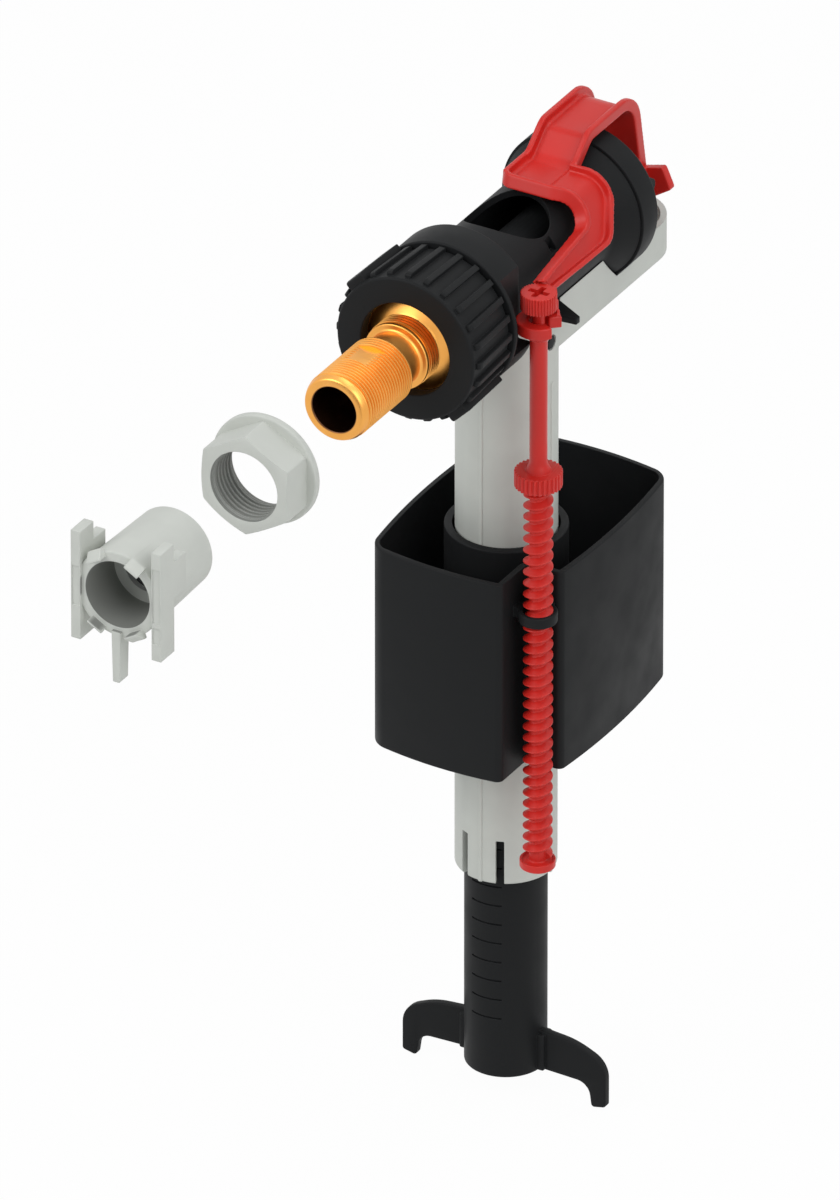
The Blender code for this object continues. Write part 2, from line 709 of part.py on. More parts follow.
def make_inlet_tube(material):
    """Tube that carries the water across the air gap to the diaphragm's seat."""
    back = HEAD_BACK
    inner = INLET_TUBE_R - INLET_TUBE_WALL
    lip = (INLET_TUBE_R + inner) / 2
    profile = [
        (inner, SOCKET_FRONT + SEAT_GAP), (INLET_TUBE_R, SOCKET_FRONT + SEAT_GAP),
        (INLET_TUBE_R, back - INLET_TUBE_WALL), (lip, back), (inner, back),
    ]
    return made(turned("inlet_tube", profile, axis="Y"), "inlet_tube", material)


def make_tube_o_ring(material):
    """Seal round the inlet tube, against the collar's back wall."""
    centre = SOCKET_BACK + O_RING_R + SEAT_GAP
    ring_r = INLET_TUBE_R + SEAT_GAP + O_RING_R
    profile = arc((ring_r, centre), O_RING_R, 0, 315, 7)
    return made(turned("tube_o_ring", profile, axis="Y", sides=SMALL_SIDES), "tube_o_ring", material)


def ear_outline(radius, root_y):
    """Side view of a lug round the hinge, from a root on its piece."""
    centre = (from_riser(HINGE_Y), HINGE_Z)
    if root_y < centre[0]:
        return [(root_y, HINGE_Z - radius)] + arc(centre, radius, -90, 90, 8) + [(root_y, HINGE_Z + radius)]
    return [(root_y, HINGE_Z + radius)] + arc(centre, radius, 90, 270, 8) + [(root_y, HINGE_Z - radius)]


def make_head_cap(material):
    """Screwed cap with two ears for the lever's hinge and a boss for the pilot at its back."""
    inner = HEAD_SPIGOT_R + SEAT_GAP
    seat = DIAPHRAGM_R + SEAT_GAP
    floor = HEAD_BACK + DIAPHRAGM_T + 2 * SEAT_GAP
    chamber_r = DIAPHRAGM_PLATE_R * 1.6
    chamber_floor = floor + DIAPHRAGM_PLATE_T + SEAT_GAP
    profile = [
        (inner, CAP_FRONT), (CAP_R, CAP_FRONT), (CAP_R, CAP_FRONT + CAP_SKIRT), (CAP_R - CAP_CHAMFER, CAP_BACK),
        (0, CAP_BACK), (0, chamber_floor), (chamber_r, chamber_floor), (chamber_r, floor), (seat, floor),
        (seat, HEAD_BACK), (inner, HEAD_BACK),
    ]
    cap = turned("head_cap", profile, axis="Y")
    root = CAP_BACK - CAP_BACK_WALL / 2
    join(cap, disc("pilot_boss", PILOT_BOSS_R, root, BOSS_BACK, (0, PILOT_Z), "Y"))
    near = LEVER_HALF_WIDTH + RUN_GAP
    for reach in ((near, near + EAR_T), (-near - EAR_T, -near)):
        join(cap, plate("ear", ear_outline(EAR_R, root), *reach, "YZ"))
    across = near + EAR_T + CUT_PAST
    cut(
        cap,
        disc("pin_hole", HINGE_PIN_R + HINGE_PIN_FIT, -across, across, HINGE, "X"),
        disc("nozzle_hole", NOZZLE_R + SEAT_GAP / 2, CAP_BACK, BOSS_BACK + CUT_PAST, (0, PILOT_Z), "Y"),
        disc("pilot_hole", PILOT_HOLE_R, chamber_floor - CUT_PAST, CAP_BACK + CUT_PAST, (0, PILOT_Z), "Y", 12),
    )
    return made(cap, "head_cap", material)


def make_hinge_pins(material):
    """Two headed pins that carry the lever in the cap's ears."""
    inner = LEVER_HALF_WIDTH - EYE_T
    under_head = LEVER_HALF_WIDTH + RUN_GAP + EAR_T + SEAT_GAP
    profile = [
        (0, inner), (HINGE_PIN_R, inner), (HINGE_PIN_R, under_head), (HINGE_PIN_HEAD_R, under_head),
        (HINGE_PIN_HEAD_R, HINGE_PIN_END_X), (0, HINGE_PIN_END_X),
    ]
    right = turned("hinge_pin_right", profile, (0, *HINGE), "X", SMALL_SIDES)
    left = mirrored(right)
    made(right, "hinge_pin_right", material, (0, *HINGE))
    made(left, "hinge_pin_left", material, (0, *HINGE))


def make_pilot_nozzle(material):
    """Metal seat of the pilot, pressed into the cap's boss."""
    low = CAP_BACK + SEAT_GAP
    profile = [
        (PILOT_HOLE_R, low), (NOZZLE_R, low), (NOZZLE_R, BOSS_BACK), (NOZZLE_R / 2, NOZZLE_TIP),
        (PILOT_HOLE_R, NOZZLE_TIP),
    ]
    nozzle = turned("pilot_nozzle", profile, (0, 0, PILOT_Z), "Y", SMALL_SIDES)
    return made(nozzle, "pilot_nozzle", material)


def make_diaphragm(material):
    low = HEAD_BACK + SEAT_GAP
    return made(disc("diaphragm", DIAPHRAGM_R, low, low + DIAPHRAGM_T, axis="Y", sides=SIDES), "diaphragm", material)


def make_diaphragm_plate(material):
    low = HEAD_BACK + DIAPHRAGM_T + 2 * SEAT_GAP
    plate_disc = disc("diaphragm_plate", DIAPHRAGM_PLATE_R, low, low + DIAPHRAGM_PLATE_T, axis="Y")
    return made(plate_disc, "diaphragm_plate", material)


# Riser and foot

def make_riser(material):
    """Outlet tube and the cradle that carries the housing, in one moulding."""
    bore_r = RISER_R - RISER_WALL
    bottom = RISER_BOTTOM_Z
    chamfer = RISER_EDGE_CHAMFER
    tube = [
        (0, bottom), (RISER_R - chamfer, bottom), (RISER_R, bottom + chamfer), (RISER_R, CRADLE_BOTTOM_Z),
        (0, CRADLE_BOTTOM_Z),
    ]
    riser = turned("riser", tube, (0, RISER_Y, 0))
    end = from_riser(CRADLE_END_Y)
    tray_half = RISER_R - CRADLE_WALL
    floor = CRADLE_BOTTOM_Z + CRADLE_FLOOR
    join(riser, plate("cradle", stadium(RISER_R, RISER_Y, end), CRADLE_BOTTOM_Z, CRADLE_FRONT_TOP_Z))
    cut(
        riser,
        plate("tray", stadium(tray_half, RISER_Y, end), floor, 0),
        disc("bore", bore_r, bottom - CUT_PAST, 0, (0, RISER_Y), sides=SIDES),
        turned("housing_seat", housing_outside(SEAT_GAP), axis="Y"),
        block("low_back", (-2 * RISER_R, from_riser(CONE_END), CRADLE_BACK_TOP_Z), (2 * RISER_R, 2 * end, 0)),
        disc("nub_holes", SNAP_NUB_R + SEAT_GAP, -2 * RISER_R, 2 * RISER_R, (RISER_Y, SNAP_NUB_Z), "X"),
        plate("tab_notch", tab_outline(SEAT_GAP), TAB_TOP_Z - TAB_T - SEAT_GAP, 0),
    )
    for side in (-1, 1):
        slot = block("slot", (-SLOT_WIDTH / 2, RISER_Y - 2 * RISER_R, bottom - CUT_PAST),
                     (SLOT_WIDTH / 2, RISER_Y - bore_r / 2, bottom + SLOT_HEIGHT))
        cut(riser, spun(slot, side * SLOT_ANGLE, (0, RISER_Y, 0)))
    for quarter in range(4):
        groove = block("groove", (RISER_R - GROOVE_DEPTH, RISER_Y - GROOVE_WIDTH / 2, GROOVE_BOTTOM_Z),
                       (2 * RISER_R, RISER_Y + GROOVE_WIDTH / 2, GROOVE_TOP_Z))
        cut(riser, spun(groove, 90 * quarter, (0, RISER_Y, 0)))
    return made(riser, "riser", material)


def hook_outline():
    """One of the foot's two hooks, seen from the front."""
    root = FOOT_R - FOOT_WALL / 2
    reach = HOOK_REACH
    end = FOOT_BOTTOM_Z
    inner = reach - HOOK_TIP_T
    return rounded([
        (root, end + HOOK_TOP, 0), (reach - HOOK_SHOULDER_IN, end + HOOK_SHOULDER, HOOK_SHOULDER_R),
        (reach, end + HOOK_CROWN, HOOK_CROWN_R), (reach, end - HOOK_TIP_DROP + HOOK_EDGE_R, HOOK_EDGE_R),
        (inner, end - HOOK_TIP_DROP, HOOK_EDGE_R), (inner - HOOK_EDGE_R, end, HOOK_INNER_R),
        (root, end + HOOK_UNDER, 0),
    ])


def make_foot(material):
    """Telescopic outlet tube, notched for the riser's finger, with two hooks at its lower end."""
    top = FOOT_BOTTOM_Z + FOOT_LENGTH
    inner = FOOT_R - FOOT_WALL
    profile = [(inner, FOOT_BOTTOM_Z), (FOOT_R, FOOT_BOTTOM_Z), (FOOT_R, top), (inner, top)]
    foot = turned("foot", profile, (0, RISER_Y, 0))
    hook = plate("hook", hook_outline(), RISER_Y - HOOK_T / 2, RISER_Y + HOOK_T / 2, "XZ")
    root = block("root", (FOOT_R - FOOT_WALL / 2, RISER_Y - HOOK_ROOT_T / 2, FOOT_BOTTOM_Z + HOOK_UNDER),
                 (FOOT_R + HOOK_ROOT_PROUD, RISER_Y + HOOK_ROOT_T / 2, FOOT_BOTTOM_Z + HOOK_ROOT_HEIGHT))
    join(foot, mirrored(hook), hook, mirrored(root), root)
    reach = 2 * FOOT_R
    for index in range(NOTCHES):
        low = FOOT_BOTTOM_Z + NOTCH_LOW + index * NOTCH_PITCH
        cut(foot, block("notch", (-reach, RISER_Y - reach, low),
                        (reach, RISER_Y - FOOT_R + NOTCH_DEPTH, low + NOTCH_HEIGHT)))
    return made(foot, "foot", material, (0, RISER_Y, FOOT_BOTTOM_Z))


# Lever

def bend_place(across, along, height):
    """Where a point of the flat lever sheet goes when its arm is bent down round the housing."""
    angle = math.radians(BEND_ANGLE)
    if across <= BEND_START_X:
        return Vector((across, along, LEVER_FACE_Z + height))
    turned_by = min((across - BEND_START_X) / BEND_RADIUS, angle)
    rest = max(across - BEND_START_X - BEND_RADIUS * angle, 0)
    radius = BEND_RADIUS + height
    x = BEND_START_X + radius * math.sin(turned_by) + rest * math.cos(angle)
    z = LEVER_FACE_Z - BEND_RADIUS + radius * math.cos(turned_by) - rest * math.sin(angle)
    return Vector((x, along, z))


def bent(name, outline, low, high):
    """A flat plate bent round the housing."""
    sheet = plate(name, outline, low, high)
    work = bmesh.new()
    work.from_mesh(sheet.data)
    steps = 6
    arc_length = BEND_RADIUS * math.radians(BEND_ANGLE)
    for step in range(steps + 1):
        place = BEND_START_X + arc_length * step / steps
        bmesh.ops.bisect_plane(work, geom=work.verts[:] + work.edges[:] + work.faces[:],
                               plane_co=(place, 0, 0), plane_no=(1, 0, 0))
    for vert in work.verts:
        vert.co = bend_place(*vert.co)
    bmesh.ops.triangulate(work, faces=work.faces)
    bmesh.ops.recalc_face_normals(work, faces=work.faces)
    work.to_mesh(sheet.data)
    work.free()
    return sheet


def arm_across(height):
    """How far across the flat sheet the arm's inner face comes down to a height."""
    angle = math.radians(BEND_ANGLE)
    drop = LEVER_FACE_Z - BEND_RADIUS * (1 - math.cos(angle)) - height
    return BEND_START_X + BEND_RADIUS * angle + drop / math.sin(angle)


def sheet_corners():
    """Crossbar and arm as one flat sheet: across it, along Y, and the corner's radius."""
    left = -LEVER_HALF_WIDTH
    front = from_riser(CROSSBAR_FRONT)
    back = from_riser(CROSSBAR_BACK)
    arm_end = SPINDLE_AXIS[1] + CLIP_R - LEVER_WEB / 4
    lower = arm_across(ARM_LOWER_Z)
    return [
        (left, front, LEVER_CORNER_R), (arm_across(ARM_UPPER_BACK_Z), front, ARM_INNER_R),
        (arm_across(ARM_UPPER_FRONT_Z), arm_end, ARM_END_R), (lower, arm_end, ARM_END_R),
        (lower, back, ARM_OUTER_R), (left, back, ARM_END_R),
    ]


def arch_line():
    """Outer face of the arch in side view, front to back."""
    line = [(CROSSBAR_FRONT + LEVER_FLANGE, LEVER_DEPTH), (ARCH_FOOT_BACK, LEVER_DEPTH), ARCH_FRONT_TOP,
            ARCH_BACK_TOP, ARCH_SHOULDER, ARCH_LEG_TOP]
    foot = (from_riser(ARCH_LEG_FOOT[0]), HINGE_Z + ARCH_LEG_FOOT[1])
    return [(from_riser(y), LEVER_FACE_Z + z) for y, z in line] + [foot]


def arch_band(outer, inner, radius):
    """A closed band between two lines, with its bends rounded."""
    ends = (0, len(outer) - 1)
    rim = [(y, z, 0 if index in ends else radius) for index, (y, z) in enumerate(outer)]
    back = [(y, z, 0 if index in ends else radius) for index, (y, z) in enumerate(inner)]
    return rounded(rim + back[::-1], 3)


def make_lever(material):
    """Channel lever: crossbar over the housing, arch over the cap, arm down to the spindle's clip."""
    corners = sheet_corners()
    line = arch_line()
    web_face = beside(line, LEVER_DEPTH)
    lever = bent("lever", rounded(corners), 0, LEVER_DEPTH)
    leg_y = line[-1][0]
    holder_face = PAD_FACE + PAD_T - PAD_POCKET
    eye_root = web_face[-1][0]
    join(
        lever,
        plate("arch", arch_band(line, web_face, ARCH_CORNER_R), -LEVER_HALF_WIDTH, LEVER_HALF_WIDTH, "YZ"),
        disc("pad_holder", PAD_HOLDER_R, holder_face, eye_root, (0, PILOT_Z), "Y"),
        plate("eye", ear_outline(EYE_R, eye_root), LEVER_HALF_WIDTH - EYE_T, LEVER_HALF_WIDTH, "YZ"),
        plate("eye", ear_outline(EYE_R, eye_root), -LEVER_HALF_WIDTH, EYE_T - LEVER_HALF_WIDTH, "YZ"),
        plate("clip_wall", clip_wall_outline(), CLIP_BOTTOM_Z, CLIP_WALL_TOP_Z),
    )
    flange = LEVER_FLANGE
    above = 0.004
    skin = beside(line, LEVER_DEPTH - LEVER_WEB)
    skin[0] = (skin[0][0] + flange, skin[0][1])
    leg = Vector(skin[-1]) - Vector(skin[-2])
    skin[-1] = tuple(Vector(skin[-1]) - leg.normalized() * flange)
    over = beside(line, -above)
    over[0] = (skin[0][0], over[0][1])
    over[-1] = tuple(Vector(over[-1]) - leg.normalized() * flange)
    inner_half = LEVER_HALF_WIDTH - flange
    across = LEVER_HALF_WIDTH + CUT_PAST
    cut(
        lever,
        bent("sheet_recess", rounded(inset(corners, flange)), LEVER_WEB, LEVER_DEPTH + above),
        plate("arch_recess", arch_band(over, skin, ARCH_CORNER_R / 2), -inner_half, inner_half, "YZ"),
        disc("pin_hole", HINGE_PIN_R + HINGE_PIN_FIT, -across, across, HINGE, "X"),
        disc("pad_pocket", PAD_R + SEAT_GAP / 2, holder_face - CUT_PAST, holder_face + PAD_POCKET + SEAT_GAP / 2,
             (0, PILOT_Z), "Y"),
    )
    join(lever, clip_ring(), clip_ledge(), finger_tab(leg_y))
    return made(lever, "lever", material, (0, *HINGE))


def clip_wall_outline():
    inner = CLIP_R - CLIP_WALL_T / 2
    return sector(SPINDLE_AXIS, inner, inner + CLIP_WALL_T, CLIP_WALL_FROM, CLIP_WALL_TO, 8)


def clip_ring():
    """Open ring that snaps on the spindle's neck, joined to the wall behind it."""
    outline = sector(SPINDLE_AXIS, CLIP_BORE_R, CLIP_R, CLIP_MOUTH_TO, CLIP_MOUTH_FROM + 360, 24)
    return plate("clip_ring", outline, CLIP_BOTTOM_Z, CLIP_TOP_Z)


def clip_ledge():
    """Block behind the neck that the spindle's knob hangs on."""
    outline = sector(SPINDLE_AXIS, CLIP_BORE_R, CLIP_R, CLIP_LEDGE_FROM, CLIP_LEDGE_TO, 6)
    return plate("clip_ledge", outline, CLIP_BOTTOM_Z, KNOB_TOP_Z - KNOB_HEIGHT - SEAT_GAP)


def finger_tab(leg_y):
    """Thumb piece at the foot of the arch's back leg."""
    root = LEVER_HALF_WIDTH - LEVER_FLANGE
    corners = [(LEVER_HALF_WIDTH + out, HINGE_Z + above, FINGER_TAB_EDGE_R)
               for out, above in (FINGER_TAB_TOP, FINGER_TAB_TIP, FINGER_TAB_LOW)]
    outline = rounded([(root, HINGE_Z + FINGER_TAB_ROOT_HIGH, 0), *corners, (root, HINGE_Z + FINGER_TAB_ROOT_LOW, 0)], 3)
    high = leg_y - LEVER_WEB / 2
    return plate("finger_tab", outline, high - FINGER_TAB_T, high, "XZ")


def make_pilot_pad(material):
    """Rubber pad in the lever's back leg that closes the pilot nozzle."""
    pad = disc("pilot_pad", PAD_R, PAD_FACE, PAD_FACE + PAD_T, (0, PILOT_Z), "Y")
    return made(pad, "pilot_pad", material)


# Spindle and float

def make_spindle(material):
    """Knurled knob, neck for the lever's clip, rod, setting wheel and screw in one moulding."""
    knob_low = KNOB_TOP_Z - KNOB_HEIGHT
    shoulder = CLIP_BOTTOM_Z - RUN_GAP
    wheel_low = WHEEL_TOP_Z - WHEEL_HEIGHT
    dish = SCREW_BOTTOM_Z - END_DISH_T
    inside_knob = KNOB_TOP_Z - KNOB_HEIGHT / 2
    inside_wheel = WHEEL_TOP_Z - WHEEL_HEIGHT / 2
    core = [
        (0, inside_knob), (NECK_R, inside_knob), (NECK_R, shoulder), (SHOULDER_R, shoulder),
        (SHOULDER_R, shoulder - SHOULDER_T), (ROD_R, shoulder - SHOULDER_T), (ROD_R, inside_wheel),
        (SCREW_R, inside_wheel), (SCREW_R, SCREW_BOTTOM_Z), (END_DISH_R, SCREW_BOTTOM_Z), (END_DISH_R, dish),
        (SCREW_R, dish - END_DISH_T / 4), (0, dish - END_DISH_T / 4),
    ]
    spindle = turned("spindle", core, sides=SMALL_SIDES)
    join(
        spindle,
        plate("knob", toothed(KNOB_R, KNOB_R * 0.06, KNOB_TEETH), knob_low, KNOB_TOP_Z),
        plate("wheel", toothed(WHEEL_R, WHEEL_R * 0.06, WHEEL_TEETH), wheel_low, WHEEL_TOP_Z),
    )
    for degrees in (20, 110):
        half = KNOB_SLOT_LENGTH / 2
        slot = block("slot", (-half, -KNOB_SLOT_WIDTH / 2, KNOB_TOP_Z - KNOB_SLOT_DEPTH),
                     (half, KNOB_SLOT_WIDTH / 2, 2 * KNOB_TOP_Z))
        cut(spindle, spun(slot, degrees, (0, 0, 0)))
    spindle.data.transform(Matrix.Translation(SPINDLE_AXIS))
    return made(spindle, "spindle", material, SPINDLE_AXIS)


def bulged(start, end, sag, steps=6):
    """Points of a shallow arc between two corners, without its start."""
    a = Vector(start)
    b = Vector(end)
    out = Vector((b.y - a.y, a.x - b.x)).normalized()
    points = []
    for step in range(1, steps):
        share = step / steps
        point = a.lerp(b, share) + out * (4 * sag * share * (1 - share))
        points.append((point.x, point.y, 0))
    return points


def float_corners():
    """Plan of the cup, anticlockwise, with its notch for the spindle."""
    front = from_riser(FLOAT_FRONT)
    back = from_riser(FLOAT_BACK)
    notch = FLOAT_NOTCH_Y
    half = FLOAT_HALF_X
    small = FLOAT_NOTCH_CORNER_R
    right = bulged((half, notch), (half, back), FLOAT_SIDE_BULGE)
    left = bulged((-half, back), (-half, front), FLOAT_SIDE_BULGE)
    rear = bulged((half, back), (-half, back), FLOAT_SIDE_BULGE / 2)
    return [
        (-half, front, FLOAT_CORNER_R), (FLOAT_NOTCH_X, front, small), (FLOAT_NOTCH_X, notch, small),
        (half, notch, small), *right, (half, back, FLOAT_CORNER_R), *rear, (-half, back, FLOAT_CORNER_R), *left,
    ]


def make_float(material):
    """Open cup round the riser, hung on the spindle's screw by a clip in its notch."""
    corners = float_corners()
    cup = plate("float", rounded(corners), FLOAT_BOTTOM_Z, FLOAT_TOP_Z)
    floor = FLOAT_BOTTOM_Z + FLOAT_WALL
    cut(cup, plate("inside", rounded(inset(corners, FLOAT_WALL)), floor, FLOAT_TOP_Z + CUT_PAST))
    join(cup, disc("collar", FLOAT_COLLAR_R, FLOAT_BOTTOM_Z + FLOAT_WALL / 2, FLOAT_TOP_Z, (0, RISER_Y), sides=SIDES))
    rib_low = floor - FLOAT_WALL / 2
    back_inner = from_riser(FLOAT_BACK) - FLOAT_WALL / 2
    for side in (-1, 1):
        middle = side * FLOAT_HALF_X / 2
        join(cup, block("rib", (middle - FLOAT_RIB_T / 2, back_inner - FLOAT_RIB_DEPTH, rib_low),
                        (middle + FLOAT_RIB_T / 2, back_inner, FLOAT_TOP_Z - FLOAT_RIB_DEPTH)))
    cut(cup, disc("riser_bore", FLOAT_BORE_R, FLOAT_BOTTOM_Z - CUT_PAST, FLOAT_TOP_Z + CUT_PAST, (0, RISER_Y),
                  sides=SIDES))
    clip_low = FLOAT_CLIP_TOP_Z - FLOAT_CLIP_HEIGHT
    wall_x = FLOAT_NOTCH_X - FLOAT_WALL / 2
    wall_y = FLOAT_NOTCH_Y + FLOAT_WALL / 2
    arm = FLOAT_CLIP_R / 3
    join(
        cup,
        disc("clip", FLOAT_CLIP_R, clip_low, FLOAT_CLIP_TOP_Z, SPINDLE_AXIS),
        block("side_arm", (wall_x, SPINDLE_AXIS[1] - arm, clip_low), (SPINDLE_X, SPINDLE_AXIS[1] + arm, FLOAT_CLIP_TOP_Z)),
        block("back_arm", (SPINDLE_X - arm, SPINDLE_AXIS[1], clip_low), (SPINDLE_X + arm, wall_y, FLOAT_CLIP_TOP_Z)),
    )
    cut(cup, disc("screw_hole", SCREW_R + SEAT_GAP / 2, clip_low - CUT_PAST, FLOAT_CLIP_TOP_Z + CUT_PAST, SPINDLE_AXIS))
    return made(cup, "float", material, (0, RISER_Y, FLOAT_BOTTOM_Z))


# Counter nut and adapter

def make_counter_nut(material):
    """Hexagon nut with a flange towards the cistern's wall."""
    back = NUT_FRONT + NUT_LENGTH
    hole = NIPPLE_THREAD_R + SEAT_GAP / 2
    corner_r = NUT_ACROSS_FLATS / 2 / math.cos(math.pi / 6)
    hexagon = disc("counter_nut", corner_r, NUT_FRONT, back - NUT_FLANGE_T / 2, axis="Y", sides=6)
    spun(hexagon, 30, (0, 0, 0), "Y")
    flat_r = NUT_ACROSS_FLATS / 2
    trim = turned("trim", [
        (0, NUT_FRONT - CUT_PAST), (flat_r - 2 * CUT_PAST, NUT_FRONT - CUT_PAST),
        (flat_r + 2 * NUT_CHAMFER, NUT_FRONT + NUT_CHAMFER), (flat_r + 2 * NUT_CHAMFER, back), (0, back)], axis="Y")
    combine(hexagon, trim, "INTERSECT")
    join(hexagon, disc("flange", NUT_FLANGE_R, back - NUT_FLANGE_T, back, axis="Y", sides=SIDES))
    cut(hexagon, disc("hole", hole, NUT_FRONT - CUT_PAST, back + CUT_PAST, axis="Y", sides=SIDES))
    return made(hexagon, "counter_nut", material, (0, back, 0))


def make_adapter(material):
    """Socket with two grip bars, a leg, and lugs round its front ring."""
    front = ADAPTER_FRONT
    back = front + ADAPTER_LENGTH
    step = front + ADAPTER_STEP_DEPTH
    step_back = step + ADAPTER_STEP_T
    bore_back = NIPPLE_THREAD_R + SEAT_GAP
    outside = [(0, front), (ADAPTER_R_FRONT, front), (ADAPTER_R_BACK, back), (0, back)]
    adapter = turned("adapter", outside, axis="Y")
    half = ADAPTER_BAR_WIDTH / 2
    for side in (-1, 1):
        middle = side * ADAPTER_BAR_X
        tall = ADAPTER_BAR_HALF
        short = ADAPTER_BAR_HALF - ADAPTER_BAR_STEP
        join(adapter,
             block("bar", (middle - half, front, -tall), (middle + half, front + ADAPTER_BAR_DEPTH, tall)),
             block("bar_step", (middle - half, front, -short), (middle + half, front + 2 * ADAPTER_BAR_DEPTH, short)))
    join(adapter, adapter_leg(front))
    for quarter in range(4):
        reach = ADAPTER_R_FRONT + ADAPTER_LUG_REACH
        lug = block("lug", (ADAPTER_R_FRONT / 2, front, -ADAPTER_LUG_WIDTH / 2),
                    (reach, front + ADAPTER_BAR_DEPTH / 2, ADAPTER_LUG_WIDTH / 2))
        join(adapter, spun(lug, 45 + 90 * quarter, (0, 0, 0), "Y"))
    bore = [
        (0, front - CUT_PAST), (ADAPTER_BORE_R, front - CUT_PAST), (ADAPTER_BORE_R, step), (ADAPTER_STEP_HOLE_R, step),
        (ADAPTER_STEP_HOLE_R, step_back), (bore_back, step_back), (bore_back, back + CUT_PAST), (0, back + CUT_PAST),
    ]
    cut(adapter, turned("bore", bore, axis="Y"))
    for side in (-1, 1):
        middle = side * (ADAPTER_BAR_X + half / 3)
        tall = ADAPTER_BAR_HALF - half
        cut(adapter, block("panel", (middle - half / 2, front - CUT_PAST, -tall),
                           (middle + half / 2, front + ADAPTER_PANEL_DEPTH, tall)))
    return made(adapter, "adapter", material, (0, back, 0))


def adapter_leg(front):
    top_z = -ADAPTER_R_FRONT * 0.85
    wide = ADAPTER_LEG_WIDTH / 2
    tip = ADAPTER_LEG_TIP_WIDTH / 2
    outline = [(-wide, top_z), (-tip, ADAPTER_LEG_Z), (tip, ADAPTER_LEG_Z), (wide, top_z)]
    return plate("leg", outline, front, front + ADAPTER_LEG_DEPTH, "XZ")


def make_adapter_seal(material):
    low = ADAPTER_FRONT + ADAPTER_STEP_DEPTH + ADAPTER_STEP_T + SEAT_GAP
    ring = [(ADAPTER_STEP_HOLE_R, low), (NIPPLE_THREAD_R, low), (NIPPLE_THREAD_R, low + ADAPTER_SEAL_T),
            (ADAPTER_STEP_HOLE_R, low + ADAPTER_SEAL_T)]
    return made(turned("adapter_seal", ring, axis="Y"), "adapter_seal", material)


def main():
    for thing in list(bpy.data.objects):
        bpy.data.objects.remove(thing)
    bpy.context.scene.collection.children.link(parts)
    red = finish("red_plastic", (0.62, 0.025, 0.020), 0.35)
    black = finish("black_plastic", (0.021, 0.023, 0.024), 0.45)
    grey = finish("grey_plastic", (0.47, 0.49, 0.46), 0.55)
    white = finish("white_plastic", (0.75, 0.75, 0.73), 0.5)
    brass = finish("brass", (0.80, 0.42, 0.12), 0.28, 1.0)
    rubber = finish("rubber", (0.015, 0.015, 0.016), 0.8)
    make_riser(grey)
    make_foot(black)
    make_housing(black)
    make_inlet_tube(black)
    make_tube_o_ring(rubber)
    make_head_cap(black)
    make_pilot_nozzle(brass)
    make_hinge_pins(black)
    make_diaphragm(rubber)
    make_diaphragm_plate(white)
    make_nipple(brass)
    make_union_nut(black)
    make_union_washer(rubber)
    make_strainer(white)
    make_flow_limiter(white)
    make_lever(red)
    make_pilot_pad(rubber)
    make_spindle(red)
    make_float(black)
    make_counter_nut(grey)
    make_adapter(grey)
    make_adapter_seal(rubber)


main()
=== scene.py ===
"""Looks of the toilet fill valve: each visible piece, its finish, the light and the camera.

Sizes are millimetres in the frame's own directions: Y runs into the cistern, Z is up.
"""
import json
import math

import bpy
from mathutils import Matrix, Vector


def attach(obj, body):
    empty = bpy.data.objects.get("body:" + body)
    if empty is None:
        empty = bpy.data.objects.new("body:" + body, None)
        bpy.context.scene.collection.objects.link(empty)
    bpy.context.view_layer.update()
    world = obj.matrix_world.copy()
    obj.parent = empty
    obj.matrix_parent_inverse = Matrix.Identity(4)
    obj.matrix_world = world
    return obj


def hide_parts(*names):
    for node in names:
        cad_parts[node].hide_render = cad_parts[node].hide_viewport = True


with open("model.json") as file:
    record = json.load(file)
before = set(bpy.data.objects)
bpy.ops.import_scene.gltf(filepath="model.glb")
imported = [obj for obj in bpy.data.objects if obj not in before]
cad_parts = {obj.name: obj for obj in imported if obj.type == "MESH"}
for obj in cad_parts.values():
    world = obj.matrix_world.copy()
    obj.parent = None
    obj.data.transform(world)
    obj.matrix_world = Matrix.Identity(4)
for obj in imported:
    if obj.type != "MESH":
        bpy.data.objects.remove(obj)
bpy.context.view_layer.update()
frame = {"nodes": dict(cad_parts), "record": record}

MM = 0.001
RISER_Y = 46.3             # the riser's axis
SEAT_GAP = 0.3
FINE = 0.000001            # metres, below which two vertices are one
WELD = 0.000004            # metres, for the slivers that a Boolean leaves
ROUND_STEPS = 128
SMALL_STEPS = 64


# Camera and stage

VIEW_TURN = 30             # degrees to the right of the inlet's axis
VIEW_RISE = 30
LENS = 1000                # long and far off, for the photo's nearly parallel view
SENSOR = 36
PICTURE_HEIGHT = 272.1     # how much of the object's plane the picture takes in
PICTURE_RIGHT = -19.7      # the picture's middle, from the inlet over the riser
PICTURE_UP = -76.6
FLOOR_Z = -215.8
FLOOR_SIZE = 30000


def make_camera():
    turn = math.radians(VIEW_TURN)
    rise = math.radians(VIEW_RISE)
    right = Vector((math.cos(turn), math.sin(turn), 0))
    back = Vector((math.sin(turn) * math.cos(rise), -math.cos(turn) * math.cos(rise), math.sin(rise)))
    up = back.cross(right)
    middle = Vector((0, RISER_Y, 0)) + right * PICTURE_RIGHT + up * PICTURE_UP
    distance = LENS * PICTURE_HEIGHT / SENSOR
    bpy.ops.object.camera_add(location=(middle + back * distance) * MM)
    camera = bpy.context.object
    camera.name = "camera"
    camera.rotation_mode = "QUATERNION"
    camera.rotation_quaternion = (-back).to_track_quat("-Z", "Y")
    camera.data.lens = LENS
    camera.data.sensor_width = SENSOR
    camera.data.clip_start = distance * MM / 10
    camera.data.clip_end = distance * MM * 20
    bpy.context.scene.camera = camera


